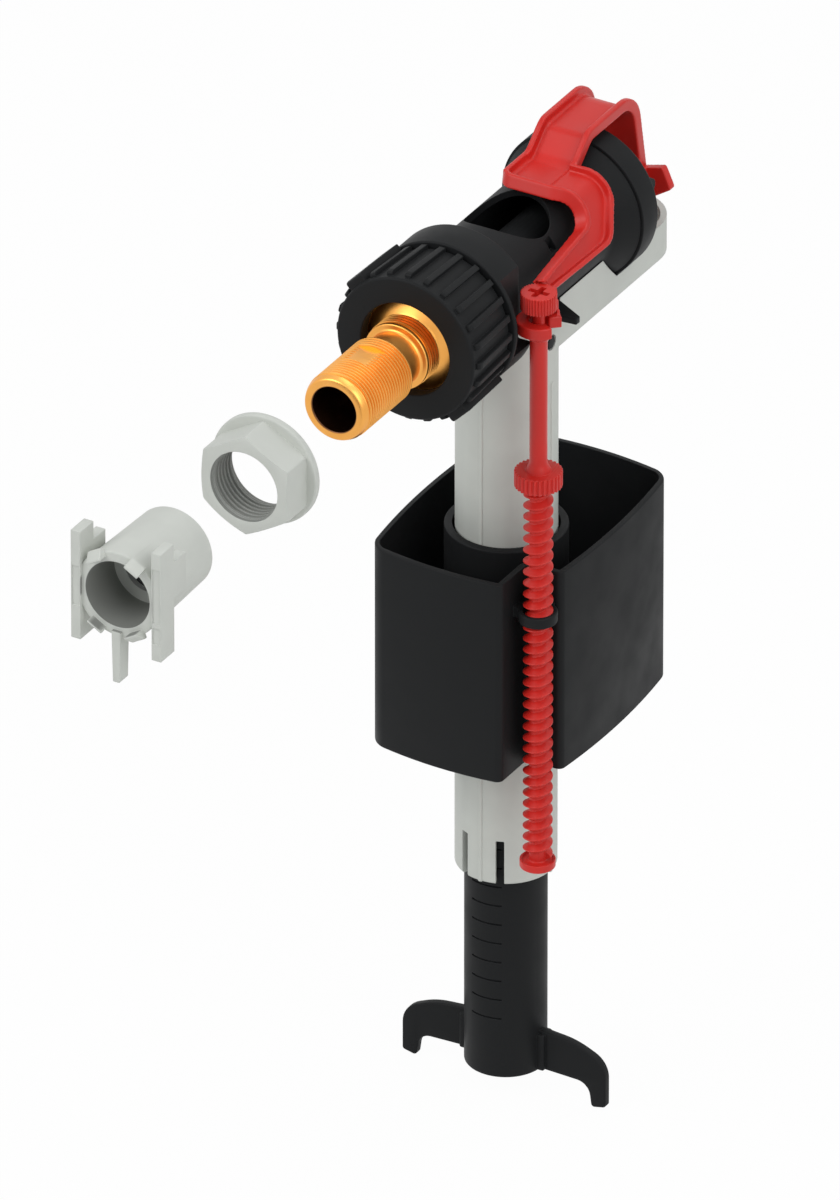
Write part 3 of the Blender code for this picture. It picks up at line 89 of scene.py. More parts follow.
LAMP_TARGET_Z = -90
LAMPS = (                  # degrees round and up, distance, size and power
    ("key_lamp", -35, 40, 1500, 1000, 8.9),
    ("fill_lamp", 65, 35, 1500, 1100, 8.0),
    ("top_lamp", 160, 70, 1500, 1000, 5.0),
)


def make_lamp(name, turn, rise, distance, size, power):
    """A soft square lamp that faces the valve from a direction round it."""
    turn = math.radians(turn)
    rise = math.radians(rise)
    away = Vector((math.sin(turn) * math.cos(rise), -math.cos(turn) * math.cos(rise), math.sin(rise)))
    target = Vector((0, RISER_Y, LAMP_TARGET_Z)) * MM
    bpy.ops.object.light_add(type="AREA", location=target + away * distance * MM)
    lamp = bpy.context.object
    lamp.name = name
    lamp.rotation_mode = "QUATERNION"
    lamp.rotation_quaternion = (-away).to_track_quat("-Z", "Y")
    lamp.data.shape = "SQUARE"
    lamp.data.size = size * MM
    lamp.data.energy = power


# Node trees

def add_node(tree, kind, inputs=None, **settings):
    """A node with its settings, and its inputs as values or links."""
    node = tree.nodes.new(kind)
    for setting, value in settings.items():
        setattr(node, setting, value)
    for socket, value in (inputs or {}).items():
        if isinstance(value, bpy.types.NodeSocket):
            tree.links.new(value, node.inputs[socket])
        else:
            node.inputs[socket].default_value = value
    return node


def new_material(name):
    material = bpy.data.materials.new(name)
    material.use_nodes = True
    tree = material.node_tree
    return material, tree, tree.nodes["Principled BSDF"]


def noise(tree, place, feature, detail=2.0):
    """Noise whose spots are about as wide as a feature, in millimetres."""
    inputs = {"Vector": place, "Scale": 1 / (feature * MM), "Detail": detail}
    return add_node(tree, "ShaderNodeTexNoise", inputs).outputs["Fac"]


def calculated(tree, operation, *values):
    """One step of arithmetic on values or links."""
    return add_node(tree, "ShaderNodeMath", dict(enumerate(values)), operation=operation).outputs["Value"]


def ranged(tree, value, from_low, from_high, low, high):
    inputs = {"Value": value, "From Min": from_low, "From Max": from_high, "To Min": low, "To Max": high}
    return add_node(tree, "ShaderNodeMapRange", inputs).outputs["Result"]


def blended(tree, factor, first, second):
    node = add_node(tree, "ShaderNodeMix", data_type="RGBA")
    for index, value in ((0, factor), (6, first), (7, second)):
        if isinstance(value, bpy.types.NodeSocket):
            tree.links.new(value, node.inputs[index])
        else:
            node.inputs[index].default_value = value
    return node.outputs[2]


def edge_mask(tree, soft_normal, reach):
    """1 along a piece's edges and 0 on its flats."""
    flat_normal = add_node(tree, "ShaderNodeNewGeometry").outputs["Normal"]
    along = add_node(tree, "ShaderNodeVectorMath", {0: soft_normal, 1: flat_normal}, operation="DOT_PRODUCT")
    return ranged(tree, along.outputs["Value"], 1.0, 1.0 - reach, 0.0, 1.0)


BORE_SHADE_R = 9.45        # takes in the counter nut's thread
BORE_SHADE_END = -57       # along Y, behind both loose pieces
END_FACE = (0.93, 0.97)    # how squarely a face looks along Y before it is left out of the painted shade
MASK_BLUR = 0.1


def within_radius(tree, place, radius):
    """1 closer to the inlet's axis than a radius, in millimetres, and 0 outside it."""
    parts = add_node(tree, "ShaderNodeSeparateXYZ", {0: place}).outputs
    flat = add_node(tree, "ShaderNodeCombineXYZ", {"X": parts["X"], "Z": parts["Z"]}).outputs["Vector"]
    length = add_node(tree, "ShaderNodeVectorMath", {0: flat}, operation="LENGTH").outputs["Value"]
    return ranged(tree, length, (radius - MASK_BLUR) * MM, (radius + MASK_BLUR) * MM, 1.0, 0.0)


def bore_shade_mask(tree, place):
    """Where the painted shade goes: 1 on the bore walls and threads of the two loose grey pieces, and 0 on
    their faces and elsewhere.
    """
    normal = add_node(tree, "ShaderNodeNewGeometry").outputs["Normal"]
    facing = calculated(tree, "ABSOLUTE", add_node(tree, "ShaderNodeSeparateXYZ", {0: normal}).outputs["Y"])
    along = add_node(tree, "ShaderNodeSeparateXYZ", {0: place}).outputs["Y"]
    wall = ranged(tree, facing, *END_FACE, 1.0, 0.0)
    loose = ranged(tree, along, (BORE_SHADE_END - 1) * MM, (BORE_SHADE_END + 1) * MM, 1.0, 0.0)
    mask = calculated(tree, "MULTIPLY", within_radius(tree, place, BORE_SHADE_R), wall)
    return calculated(tree, "MULTIPLY", mask, loose)


CLOUD_SIZE = 9.0
CLOUD_SHADE = 0.95         # the tone of the darker clouds
CLOUD_EDGES = (0.35, 0.65)
CLOUD_RANGE = (0.3, 0.7)
EDGE_REACH = 0.12          # how far a face turns before it counts as an edge
EDGE_SAMPLES = 6
RUBBED_AND_HIGHLIT = (0.35, 0.9)       # how much of an edge is lightened, as wear and as painted highlight


def moulded_plastic(name, colour, worn_and_highlit, roughness, grain, grain_depth, edge=0.25, specular=0.5, bore_shade=1.0):
    """Injection-moulded plastic: eroded grain, cloudy gloss, edges lightened as wear and as painted
    highlight, and bore walls darker by a share as painted shade.
    """
    material, tree, shader = new_material(name)
    place = add_node(tree, "ShaderNodeTexCoord").outputs["Object"]
    clouds = noise(tree, place, CLOUD_SIZE)
    grains = noise(tree, place, grain, 3.0)
    soft = add_node(tree, "ShaderNodeBevel", {"Radius": edge * MM}, samples=EDGE_SAMPLES).outputs["Normal"]
    edges = edge_mask(tree, soft, EDGE_REACH)
    darker = tuple(part * CLOUD_SHADE for part in colour)
    base = blended(tree, ranged(tree, clouds, *CLOUD_EDGES, 0.0, 1.0), (*darker, 1), (*colour, 1))
    # painted shade: the bore walls and threads of the loose grey pieces are darkened by a share of the
    # colour
    if bore_shade < 1.0:
        base = blended(tree, bore_shade_mask(tree, place), base, (*[part * bore_shade for part in colour], 1))
    # edges lightened towards the worn colour: partly wear, partly a painted highlight
    rubbed_and_highlit = calculated(tree, "MULTIPLY", edges, ranged(tree, clouds, *CLOUD_RANGE, *RUBBED_AND_HIGHLIT))
    tree.links.new(blended(tree, rubbed_and_highlit, base, (*worn_and_highlit, 1)), shader.inputs["Base Color"])
    tree.links.new(ranged(tree, clouds, *CLOUD_RANGE, *roughness), shader.inputs["Roughness"])
    bump = add_node(tree, "ShaderNodeBump", {"Height": grains, "Distance": grain_depth * MM, "Normal": soft})
    tree.links.new(bump.outputs["Normal"], shader.inputs["Normal"])
    shader.inputs["Specular IOR Level"].default_value = specular
    return material


# painted shade for the tail's bore: a dark brown in place of the shade inside it
BRASS_BORE_SHADE = (0.14, 0.06, 0.03, 1)
BRASS_BORE_SHADE_R = 5.9
LATHE_STRETCH = (0.04, 1.0, 0.04)
LATHE_RING = 0.5
LATHE_DEPTH = 0.002


def turned_brass(name, colour, deep, roughness):
    """Brass from the lathe: fine rings round Y, a warmer tone in patches, and a bore darkened with painted
    shade.
    """
    material, tree, shader = new_material(name)
    place = add_node(tree, "ShaderNodeTexCoord").outputs["Object"]
    stretched = add_node(tree, "ShaderNodeMapping", {"Vector": place, "Scale": LATHE_STRETCH})
    rings = noise(tree, stretched.outputs["Vector"], LATHE_RING, 1.0)
    patches = noise(tree, place, CLOUD_SIZE)
    base = blended(tree, ranged(tree, patches, *CLOUD_RANGE, 0.0, 1.0), (*deep, 1), (*colour, 1))
    # painted shade: the bore within this radius is coloured dark brown
    base = blended(tree, within_radius(tree, place, BRASS_BORE_SHADE_R), base, BRASS_BORE_SHADE)
    tree.links.new(base, shader.inputs["Base Color"])
    tree.links.new(ranged(tree, patches, *CLOUD_RANGE, *roughness), shader.inputs["Roughness"])
    bump = add_node(tree, "ShaderNodeBump", {"Height": rings, "Distance": LATHE_DEPTH * MM})
    tree.links.new(bump.outputs["Normal"], shader.inputs["Normal"])
    shader.inputs["Metallic"].default_value = 1.0
    return material


def seen_as_white(tree, share):
    """How much of a background is plain white to the camera and to gloss."""
    path = add_node(tree, "ShaderNodeLightPath").outputs
    seen = path["Is Camera Ray"]
    for ray in ("Is Glossy Ray", "Is Transmission Ray"):
        seen = calculated(tree, "MAXIMUM", seen, path[ray])
    return calculated(tree, "MULTIPLY", seen, share)


FLOOR_COLOUR = (0.82, 0.82, 0.81, 1)
FLOOR_ROUGHNESS = 0.9
FLOOR_WHITE = 0.97         # the rest of the floor keeps the shadow
SKY_COLOUR = (0.92, 0.95, 1.0, 1)
SKY_STRENGTH = 0.36
WHITE = (1, 1, 1, 1)


def make_stage():
    """A wide pale floor under the foot, and an even sky."""
    bpy.ops.object.select_all(action="DESELECT")
    bpy.ops.mesh.primitive_grid_add(size=FLOOR_SIZE * MM, x_subdivisions=4, y_subdivisions=4,
                                    location=(0, RISER_Y * MM, FLOOR_Z * MM))
    floor = bpy.context.object
    floor.name = "floor"
    bpy.ops.object.transform_apply(location=True)
    material, tree, shader = new_material("pale_floor")
    shader.inputs["Base Color"].default_value = FLOOR_COLOUR
    shader.inputs["Roughness"].default_value = FLOOR_ROUGHNESS
    glow = add_node(tree, "ShaderNodeEmission", {"Color": WHITE, "Strength": 1.0})
    share = seen_as_white(tree, FLOOR_WHITE)
    mix = add_node(tree, "ShaderNodeMixShader", {0: share, 1: shader.outputs[0], 2: glow.outputs[0]})
    tree.links.new(mix.outputs[0], tree.nodes["Material Output"].inputs["Surface"])
    floor.data.materials.append(material)
    world = bpy.context.scene.world or bpy.data.worlds.new("sky")
    bpy.context.scene.world = world
    world.use_nodes = True
    sky = world.node_tree
    sky.nodes.clear()
    plain = add_node(sky, "ShaderNodeBackground", {"Color": SKY_COLOUR, "Strength": SKY_STRENGTH})
    white = add_node(sky, "ShaderNodeBackground", {"Color": WHITE, "Strength": 1.0})
    share = seen_as_white(sky, 1.0)
    mix = add_node(sky, "ShaderNodeMixShader", {0: share, 1: plain.outputs[0], 2: white.outputs[0]})
    end = add_node(sky, "ShaderNodeOutputWorld")
    sky.links.new(mix.outputs[0], end.inputs["Surface"])


# Outlines

def rounded(corners, steps=8):
    """The points of a closed outline of (u, v) or (u, v, radius), with the radii drawn as arcs."""
    corners = [(*corner, 0)[:3] for corner in corners]
    points = []
    count = len(corners)
    for index, (u, v, radius) in enumerate(corners):
        here = Vector((u, v))
        before = Vector(corners[index - 1][:2]) - here
        after = Vector(corners[(index + 1) % count][:2]) - here
        if radius <= 0:
            points.append((u, v))
            continue
        half = before.angle(after) / 2
        reach = min(radius / math.tan(half), 0.49 * before.length, 0.49 * after.length)
        radius = reach * math.tan(half)
        centre = here + (before.normalized() + after.normalized()).normalized() * (radius / math.sin(half))
        start = here + before.normalized() * reach - centre
        turn = start.angle_signed(here + after.normalized() * reach - centre)
        for step in range(steps + 1):
            spoke = start.copy()
            spoke.rotate(Matrix.Rotation(-turn * step / steps, 2))
            points.append(tuple(centre + spoke))
    return points


def arc(centre, radius, start, end, steps):
    """Points on an arc, with angles in degrees."""
    angles = [math.radians(start + (end - start) * step / steps) for step in range(steps + 1)]
    return [(centre[0] + radius * math.cos(a), centre[1] + radius * math.sin(a)) for a in angles]


def sector(centre, inner, outer, start, end, steps):
    return arc(centre, outer, start, end, steps) + arc(centre, inner, end, start, steps)


def stadium(half_width, front_centre, back_centre):
    front = arc((0, front_centre), half_width, 180, 360, SMALL_STEPS)
    back = arc((0, back_centre), half_width, 0, 180, SMALL_STEPS)
    return front + back


def inset(corners, distance):
    """The corners of an outline moved inwards by a wall, with their radii kept concentric."""
    moved = []
    count = len(corners)
    for index, (u, v, radius) in enumerate(corners):
        here = Vector((u, v))
        come = (here - Vector(corners[index - 1][:2])).normalized()
        leave = (Vector(corners[(index + 1) % count][:2]) - here).normalized()
        inward = Vector((-come.y - leave.y, come.x + leave.x)).normalized()
        mitre = distance / inward.dot(Vector((-come.y, come.x)))
        if radius > 0:
            radius = max(radius - distance, distance / 4) if come.cross(leave) > 0 else radius + distance
        moved.append((u + inward.x * mitre, v + inward.y * mitre, radius))
    return moved


def beside(line, distance):
    """An open line moved sideways, to its right as it is walked."""
    moved = []
    for index, point in enumerate(line):
        here = Vector(point)
        come = (here - Vector(line[max(index - 1, 0)])).normalized()
        leave = (Vector(line[min(index + 1, len(line) - 1)]) - here).normalized()
        if index == 0:
            come = leave
        if index == len(line) - 1:
            leave = come
        side = Vector((come.y + leave.y, -come.x - leave.x)).normalized()
        mitre = distance / side.dot(Vector((come.y, -come.x)))
        moved.append(tuple(here + side * mitre))
    return moved


TOOTH = (                  # share of the way to the next tooth, and share of the tooth's depth
    (0.0, 0.85), (0.12, 1.0), (0.38, 1.0), (0.5, 0.85), (0.62, 0.2), (0.72, 0.0), (0.82, 0.0), (0.92, 0.2),
)


def toothed(radius, depth, teeth):
    """The outline of a knurled disc, with a rounded crest and root to each tooth."""
    points = []
    for tooth in range(teeth):
        for share, reach in TOOTH:
            angle = 2 * math.pi * (tooth + share) / teeth
            out = radius - depth * (1 - reach)
            points.append((out * math.cos(angle), out * math.sin(angle)))
    return points


# Modelling by hand

def only(piece):
    """Leave one piece selected and active."""
    bpy.ops.object.select_all(action="DESELECT")
    piece.select_set(True)
    bpy.context.view_layer.objects.active = piece


def edit(piece):
    only(piece)
    bpy.ops.object.mode_set(mode="EDIT")
    bpy.ops.mesh.select_all(action="SELECT")


def close_edit():
    bpy.ops.object.mode_set(mode="OBJECT")


def close_outward():
    """Leave edit mode with every face looking outwards."""
    bpy.ops.mesh.select_all(action="SELECT")
    bpy.ops.mesh.normals_make_consistent(inside=False)
    close_edit()


def drawn(name, points, closed=True):
    """A line drawn point by point from one vertex; the piece stays in edit mode with all of it selected."""
    bpy.ops.object.select_all(action="DESELECT")
    bpy.ops.mesh.primitive_plane_add(size=MM, location=(0, 0, 0))
    piece = bpy.context.object
    piece.name = name
    bpy.ops.object.mode_set(mode="EDIT")
    bpy.ops.mesh.select_all(action="SELECT")
    bpy.ops.mesh.merge(type="CENTER")
    bpy.ops.transform.translate(value=Vector(points[0]) * MM)
    stops = points[1:] + points[:1] if closed else points[1:]
    for before, after in zip(points, stops):
        step = (Vector(after) - Vector(before)) * MM
        bpy.ops.mesh.extrude_vertices_move(TRANSFORM_OT_translate={"value": step})
    bpy.ops.mesh.select_all(action="SELECT")
    bpy.ops.mesh.remove_doubles(threshold=FINE / 4)
    return piece


SPOKES = {"X": Vector((0, 1, 0)), "Y": Vector((1, 0, 0)), "Z": Vector((1, 0, 0))}
AXES = {"X": Vector((1, 0, 0)), "Y": Vector((0, 1, 0)), "Z": Vector((0, 0, 1))}


def turned(name, profile, centre=(0, 0, 0), axis="Z", steps=ROUND_STEPS):
    """A solid spun from an outline of (radius, height, corner radius) about an axis through centre."""
    outline = rounded(profile, 4)
    middle = Vector(centre)
    closed = not (outline[0][0] == 0 and outline[-1][0] == 0)
    points = [middle + SPOKES[axis] * radius + AXES[axis] * height for radius, height in outline]
    piece = drawn(name, points, closed)
    bpy.ops.mesh.spin(steps=steps, angle=2 * math.pi, center=middle * MM, axis=AXES[axis])
    bpy.ops.mesh.select_all(action="SELECT")
    bpy.ops.mesh.remove_doubles(threshold=FINE)
    bpy.ops.mesh.dissolve_degenerate(threshold=FINE / 4)
    close_outward()
    return piece


def disc(name, radius, low, high, centre=(0, 0), axis="Z", steps=SMALL_STEPS, edge=0.0):
    places = {"Z": (centre[0], centre[1], 0), "Y": (centre[0], 0, centre[1]), "X": (0, centre[0], centre[1])}
    profile = [(0, low), (radius, low, edge), (radius, high, edge), (0, high)]
    return turned(name, profile, places[axis], axis, steps)


PLANES = {
    "XY": lambda u, v, n: Vector((u, v, n)),
    "YZ": lambda u, v, n: Vector((n, u, v)),
    "XZ": lambda u, v, n: Vector((u, n, v)),
}


def plate(name, outline, low, high, plane="XY", edge=0.0):
    """An outline of (u, v, corner radius) drawn, filled and extruded across its plane."""
    place = PLANES[plane]
    piece = drawn(name, [place(u, v, low) for u, v in rounded(outline)])
    bpy.ops.mesh.edge_face_add()
    bpy.ops.mesh.extrude_region_move(TRANSFORM_OT_translate={"value": place(0, 0, high - low) * MM})
    close_outward()
    if edge:
        softened(piece, edge)
    return piece


def block(name, low, high, edge=0.0):
    """A block between two corners, its edges rounded."""
    low = Vector(low)
    high = Vector(high)
    bpy.ops.object.select_all(action="DESELECT")
    bpy.ops.mesh.primitive_cube_add(size=1, location=(low + high) / 2 * MM, scale=(high - low) * MM)
    piece = bpy.context.object
    piece.name = name
    bpy.ops.object.transform_apply(location=True, rotation=True, scale=True)
    if edge:
        softened(piece, edge)
    return piece


def modified(piece, kind, **settings):
    """Add one modifier and apply it."""
    only(piece)
    bpy.ops.object.modifier_add(type=kind)
    modifier = piece.modifiers[-1]
    for setting, value in settings.items():
        setattr(modifier, setting, value)
    bpy.ops.object.modifier_apply(modifier=modifier.name)
    return piece


def softened(piece, width, segments=3, angle=40):
    return modified(piece, "BEVEL", width=width * MM, segments=segments, limit_method="ANGLE",
                    angle_limit=math.radians(angle), use_clamp_overlap=True)


def combine(piece, tool, operation):
    """One Boolean step, after which slivers are welded away and the tool is gone."""
    modified(piece, "BOOLEAN", operation=operation, solver="EXACT", object=tool)
    bpy.data.objects.remove(tool)
    edit(piece)
    bpy.ops.mesh.remove_doubles(threshold=WELD)
    bpy.ops.mesh.dissolve_degenerate(threshold=WELD)
    close_edit()
    return piece


def join(piece, *tools):
    for tool in tools:
        combine(piece, tool, "UNION")
    return piece


def cut(piece, *tools):
    for tool in tools:
        combine(piece, tool, "DIFFERENCE")
    return piece


def shifted(piece, offset):
    edit(piece)
    bpy.ops.transform.translate(value=Vector(offset) * MM)
    close_edit()
    return piece


def swung(piece, degrees, centre=(0, 0, 0), axis="Z"):
    """Turn a piece's mesh about an axis through centre, anticlockwise as seen against the axis."""
    centre = Vector(centre) * MM
    piece.data.transform(Matrix.Translation(centre) @ Matrix.Rotation(math.radians(degrees), 4, axis)
                         @ Matrix.Translation(-centre))
    return piece


def copied(piece):
    twin = piece.copy()
    twin.data = piece.data.copy()
    bpy.context.collection.objects.link(twin)
    return twin


def mirrored(piece):
    """A copy of a piece on the other side of the valve's middle plane."""
    twin = copied(piece)
    twin.data.transform(Matrix.Scale(-1, 4, (1, 0, 0)))
    edit(twin)
    close_outward()
    return twin


def gathered(pieces):
    """Several pieces joined into one object, with their shells kept apart."""
    bpy.ops.object.select_all(action="DESELECT")
    for piece in pieces:
        piece.select_set(True)
    bpy.context.view_layer.objects.active = pieces[0]
    bpy.ops.object.join()
    return pieces[0]


def ring_of(piece, count, axis, centre=(0, 0, 0), first=0.0):
    """A piece and its copies spaced evenly round an axis."""
    ring = []
    for index in range(count):
        ring.append(swung(copied(piece), first + 360 * index / count, centre, axis))
    bpy.data.objects.remove(piece)
    return gathered(ring)


BITE = 0.3                 # how deep the foot of an outside thread is set in its core


def thread(name, axis, radii, start, turns, pitch, shares, steps=SMALL_STEPS):
    """A right-hand helical ridge with closed ends, from a tooth screwed round an axis.

    The tooth has a root and a crest radius, and its foot and tip are as wide as their shares of the pitch.
    """
    root, crest = radii
    foot, tip = (pitch * share / 2 for share in shares)
    tooth = [(root, -foot), (crest, -tip), (crest, tip), (root, foot)]
    piece = drawn(name, [SPOKES[axis] * radius + AXES[axis] * (start + height) for radius, height in tooth])
    close_edit()
    modified(piece, "SCREW", axis=axis, angle=2 * math.pi, screw_offset=pitch * MM, iterations=turns,
             steps=steps, render_steps=steps, use_smooth_shade=False)
    edit(piece)
    bpy.ops.mesh.remove_doubles(threshold=FINE)
    bpy.ops.mesh.fill_holes(sides=0)
    close_outward()
    return piece


def remoulded(piece, voxel, smoothing, keep):
    """Give a moulding soft inner and outer corners: remesh it finely, smooth it and thin it out."""
    modified(piece, "REMESH", mode="VOXEL", voxel_size=voxel * MM)
    modified(piece, "SMOOTH", factor=0.5, iterations=smoothing)
    modified(piece, "DECIMATE", ratio=keep)
    return piece


def finished(piece, name, body, nodes, finish, angle=32):
    """Name a piece, shade it, give it its finish and put it in the place of its CAD nodes."""
    only(piece)
    piece.name = name
    piece.data.name = name
    bpy.ops.object.shade_smooth_by_angle(angle=math.radians(angle))
    piece.data.materials.clear()
    piece.data.materials.append(FINISHES[finish])
    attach(piece, body)
    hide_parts(*nodes)
    return piece


# Inlet

THREAD_PITCH = 1.0
THREAD_CREST = 8.33
THREAD_ROOT = 7.75
TAIL_BORE = 5.65
TAIL_FRONT = -31.9
TAIL_NECK = (-10.4, -4.2)
TAIL_NECK_R = 6.6
TAIL_FLANGE = (3.6, 5.4)
TAIL_FLANGE_R = 13.5
TAIL_FLAT_Z = 7.43
TAIL_FLAT = (-22.5, -15.2)
TAIL_NOSE_R = 7.6
TAIL_NOSE = 1.8            # the plain end before the front thread
TAIL_LAND_R = 8.2
TAIL_LAND = 1.2            # the plain band before the back thread
TAIL_THREAD_END = 1.7
TAIL_TEETH = ((0.4, 0.94), (0.3, 0.62))   # each thread's chamfer, and its foot's share of the pitch
TAIL_CREST_SHARE = 0.18


def make_tail():
    """Brass tail: two cut threads, an undercut neck, a milled flat and a flange inside the union nut."""
    neck, neck_end = TAIL_NECK
    flange, back = TAIL_FLANGE
    nose_end = TAIL_FRONT + TAIL_NOSE
    land_end = neck_end + TAIL_LAND
    core = turned("core", [
        (TAIL_BORE, TAIL_FRONT, 0.35), (TAIL_NOSE_R, TAIL_FRONT, 0.7), (TAIL_LAND_R, nose_end - 0.3, 0.2),
        (THREAD_ROOT, nose_end + 0.1), (THREAD_ROOT, neck - 0.2), (TAIL_NECK_R, neck, 0.4),
        (TAIL_NECK_R, neck_end, 0.7), (TAIL_LAND_R, neck_end + 0.15, 0.3),
        (TAIL_LAND_R, land_end - 0.1, 0.1), (THREAD_ROOT, land_end + 0.2),
        (THREAD_ROOT, TAIL_THREAD_END - 0.2), (TAIL_LAND_R, TAIL_THREAD_END + 0.2, 0.3),
        (TAIL_FLANGE_R - 2.3, flange - 0.1, 1.2), (TAIL_FLANGE_R, flange, 0.2), (TAIL_FLANGE_R, back, 0.2),
        (TAIL_BORE, back, 0.3),
    ], axis="Y")
    spans = ((nose_end, neck - 0.1), (land_end, TAIL_THREAD_END))
    for (low, high), (chamfer, foot) in zip(spans, TAIL_TEETH):
        turns = math.ceil((high - low) / THREAD_PITCH) + 2
        ridge = thread("ridge", "Y", (THREAD_ROOT - BITE, THREAD_CREST + 0.05), low - THREAD_PITCH, turns,
                       THREAD_PITCH, (foot, TAIL_CREST_SHARE))
        envelope = turned("envelope", [
            (0, low), (THREAD_CREST - 0.4, low), (THREAD_CREST, low + chamfer), (THREAD_CREST, high - 0.3),
            (THREAD_ROOT - BITE / 2, high), (0, high),
        ], axis="Y")
        combine(ridge, envelope, "INTERSECT")
        join(core, ridge)
    start, end = TAIL_FLAT
    cut(core, block("flat", (-THREAD_CREST, start, TAIL_FLAT_Z), (THREAD_CREST, end, 2 * THREAD_CREST)))
    return finished(core, "threaded_tail", "root", ["nipple"], "brass", 25)


NUT_FACE_R = 17.9
NUT_TAPER = 0.75           # how much slimmer the nut and its ribs are at the back
NUT_RIB_R = 18.95
NUT_RIBS = 24
NUT_RIB_WIDTH = 1.5
NUT_LUG_R = 19.9
NUT_LUG_WIDTH = 5.2
NUT_LUG_TURNS = (45, 225)
NUT_LENGTH = 17.4
NUT_OPENING_R = 11.5
NUT_FRONT_WALL = 3.3
NUT_BORE_R = 15.5


def make_union_nut():
    """Union nut with slim ribs, two broad lugs, a bevelled opening and a stepped bore."""
    back_r = NUT_FACE_R - NUT_TAPER
    nut = turned("nut", [
        (NUT_OPENING_R, 0.2, 0.3), (NUT_OPENING_R + 0.3, 0, 0.2), (NUT_FACE_R, 0, 0.7),
        (back_r, NUT_LENGTH, 0.4), (NUT_BORE_R, NUT_LENGTH, 0.3), (NUT_BORE_R, NUT_FRONT_WALL, 0.3),
        (NUT_OPENING_R, NUT_FRONT_WALL, 0.3),
    ], axis="Y")
    rib = nut_ridge("rib", NUT_RIB_R, NUT_RIB_WIDTH, 1.3, 0.5, NUT_TAPER)
    join(nut, ring_of(rib, NUT_RIBS, "Y"))
    for turn in NUT_LUG_TURNS:
        lug = nut_ridge("lug", NUT_LUG_R, NUT_LUG_WIDTH, 0.7, 0.6, NUT_TAPER / 2)
        join(nut, swung(lug, turn, axis="Y"))
    return finished(nut, "ribbed_union_nut", "union_nut", ["union_nut"], "black_plastic")


def nut_ridge(name, top, width, start, edge, taper):
    """A rib along the nut's side, rounded at its nose and tapered towards the back."""
    root = NUT_FACE_R - NUT_TAPER - 0.5
    end = NUT_LENGTH - 0.1
    side = [
        (root, start, 0.1), (top - 0.2, start, 0.7), (top, start + 1.2, 0.8), (top - taper, end, 0.4),
        (root, end, 0.1),
    ]
    return plate(name, side, -width / 2, width / 2, "XY", edge)


# Valve housing

TUBE_R = 13.8
TUBE_WALL = 1.6
COLLAR_R = 18.6
COLLAR_FRONT = 17.8
COLLAR_BACK = 27.3
SPIGOT_R = 15.1
HOUSING_FRONT = 7.5
HOUSING_BORE_R = 5.65
SOCKET_FRONT = 20.9
SOCKET_BACK = 28.9
SOCKET_R = 6.9
CONE_START = 69.7
CONE_END = 76.3
HEAD_R = 18.2
HEAD_SPIGOT_R = 16.9
HEAD_BACK = 80.9
PORT_R = 9.75
OUTLET_R = 9.6
OUTLET_BOTTOM = -23.0
NUB_R = 1.6
NUB_Z = -17.6
POCKET_X = 13.9
POCKET_LOW_Z = -6.4
LATCH_POCKET = ((10.2, RISER_Y - 1.1, 6.0), (12.3, RISER_Y + 1.3, 2 * TUBE_R))


def make_housing():
    """Collar, open air port with its rim, tube and cone, release tab, snap nubs and outlet spigot."""
    housing = turned("housing", [
        (0, HOUSING_FRONT), (SPIGOT_R, HOUSING_FRONT, 0.4), (SPIGOT_R, COLLAR_FRONT),
        (COLLAR_R, COLLAR_FRONT, 0.5), (COLLAR_R, COLLAR_BACK, 0.5), (TUBE_R, COLLAR_BACK, 0.6),
        (TUBE_R, CONE_START, 4.0), (HEAD_R, CONE_END, 0.3), (HEAD_SPIGOT_R, CONE_END),
        (HEAD_SPIGOT_R, HEAD_BACK, 0.3), (0, HEAD_BACK),
    ], axis="Y")
    join(
        housing,
        disc("outlet", OUTLET_R, OUTLET_BOTTOM, -TUBE_R / 2, (0, RISER_Y), steps=ROUND_STEPS, edge=0.3),
        plate("tab", tab_outline(), TAB_LOW_Z, TAB_TOP_Z, edge=0.2),
    )
    for side in (-1, 1):
        low, high = sorted((side * OUTLET_R / 2, side * 11.8))
        join(housing, disc("nub", NUB_R, low, high, (RISER_Y, NUB_Z), "X", 32, 0.3))
    head_room = HEAD_SPIGOT_R - 2 * TUBE_WALL
    chamber = turned("chamber", [
        (0, SOCKET_BACK - 1), (TUBE_R - TUBE_WALL, SOCKET_BACK), (TUBE_R - TUBE_WALL, CONE_START),
        (head_room, CONE_END), (head_room, HEAD_BACK + 1), (0, HEAD_BACK + 1),
    ], axis="Y")
    socket = turned("socket", [
        (0, HOUSING_FRONT - 1), (HOUSING_BORE_R, HOUSING_FRONT - 1), (HOUSING_BORE_R, SOCKET_FRONT),
        (SOCKET_R, SOCKET_FRONT), (SOCKET_R, SOCKET_BACK + 1), (0, SOCKET_BACK + 1),
    ], axis="Y")
    cut(
        housing, chamber, socket,
        disc("air_port", PORT_R, 0, 2 * TUBE_R, (0, RISER_Y), steps=ROUND_STEPS),
        disc("water_way", OUTLET_R - 1.4, OUTLET_BOTTOM - 1, 0, (0, RISER_Y), steps=ROUND_STEPS),
        block("clip_pocket", (POCKET_X, COLLAR_FRONT + 1, POCKET_LOW_Z),
              (2 * COLLAR_R, COLLAR_BACK + 1, 2 * COLLAR_R), 0.4),
        block("latch_pocket", *LATCH_POCKET, 0.2),
    )
    return finished(housing, "housing_moulding", "root", ["housing"], "black_plastic")


TAB_TOP_Z = -8.0
TAB_LOW_Z = -9.6
TAB_ROOT_X = 9.7
TAB_TIP_X = 19.7
TAB_ROOT = (-3.6, 4.5)      # front and back, from the riser
TAB_TIP = (-2.6, -1.0)


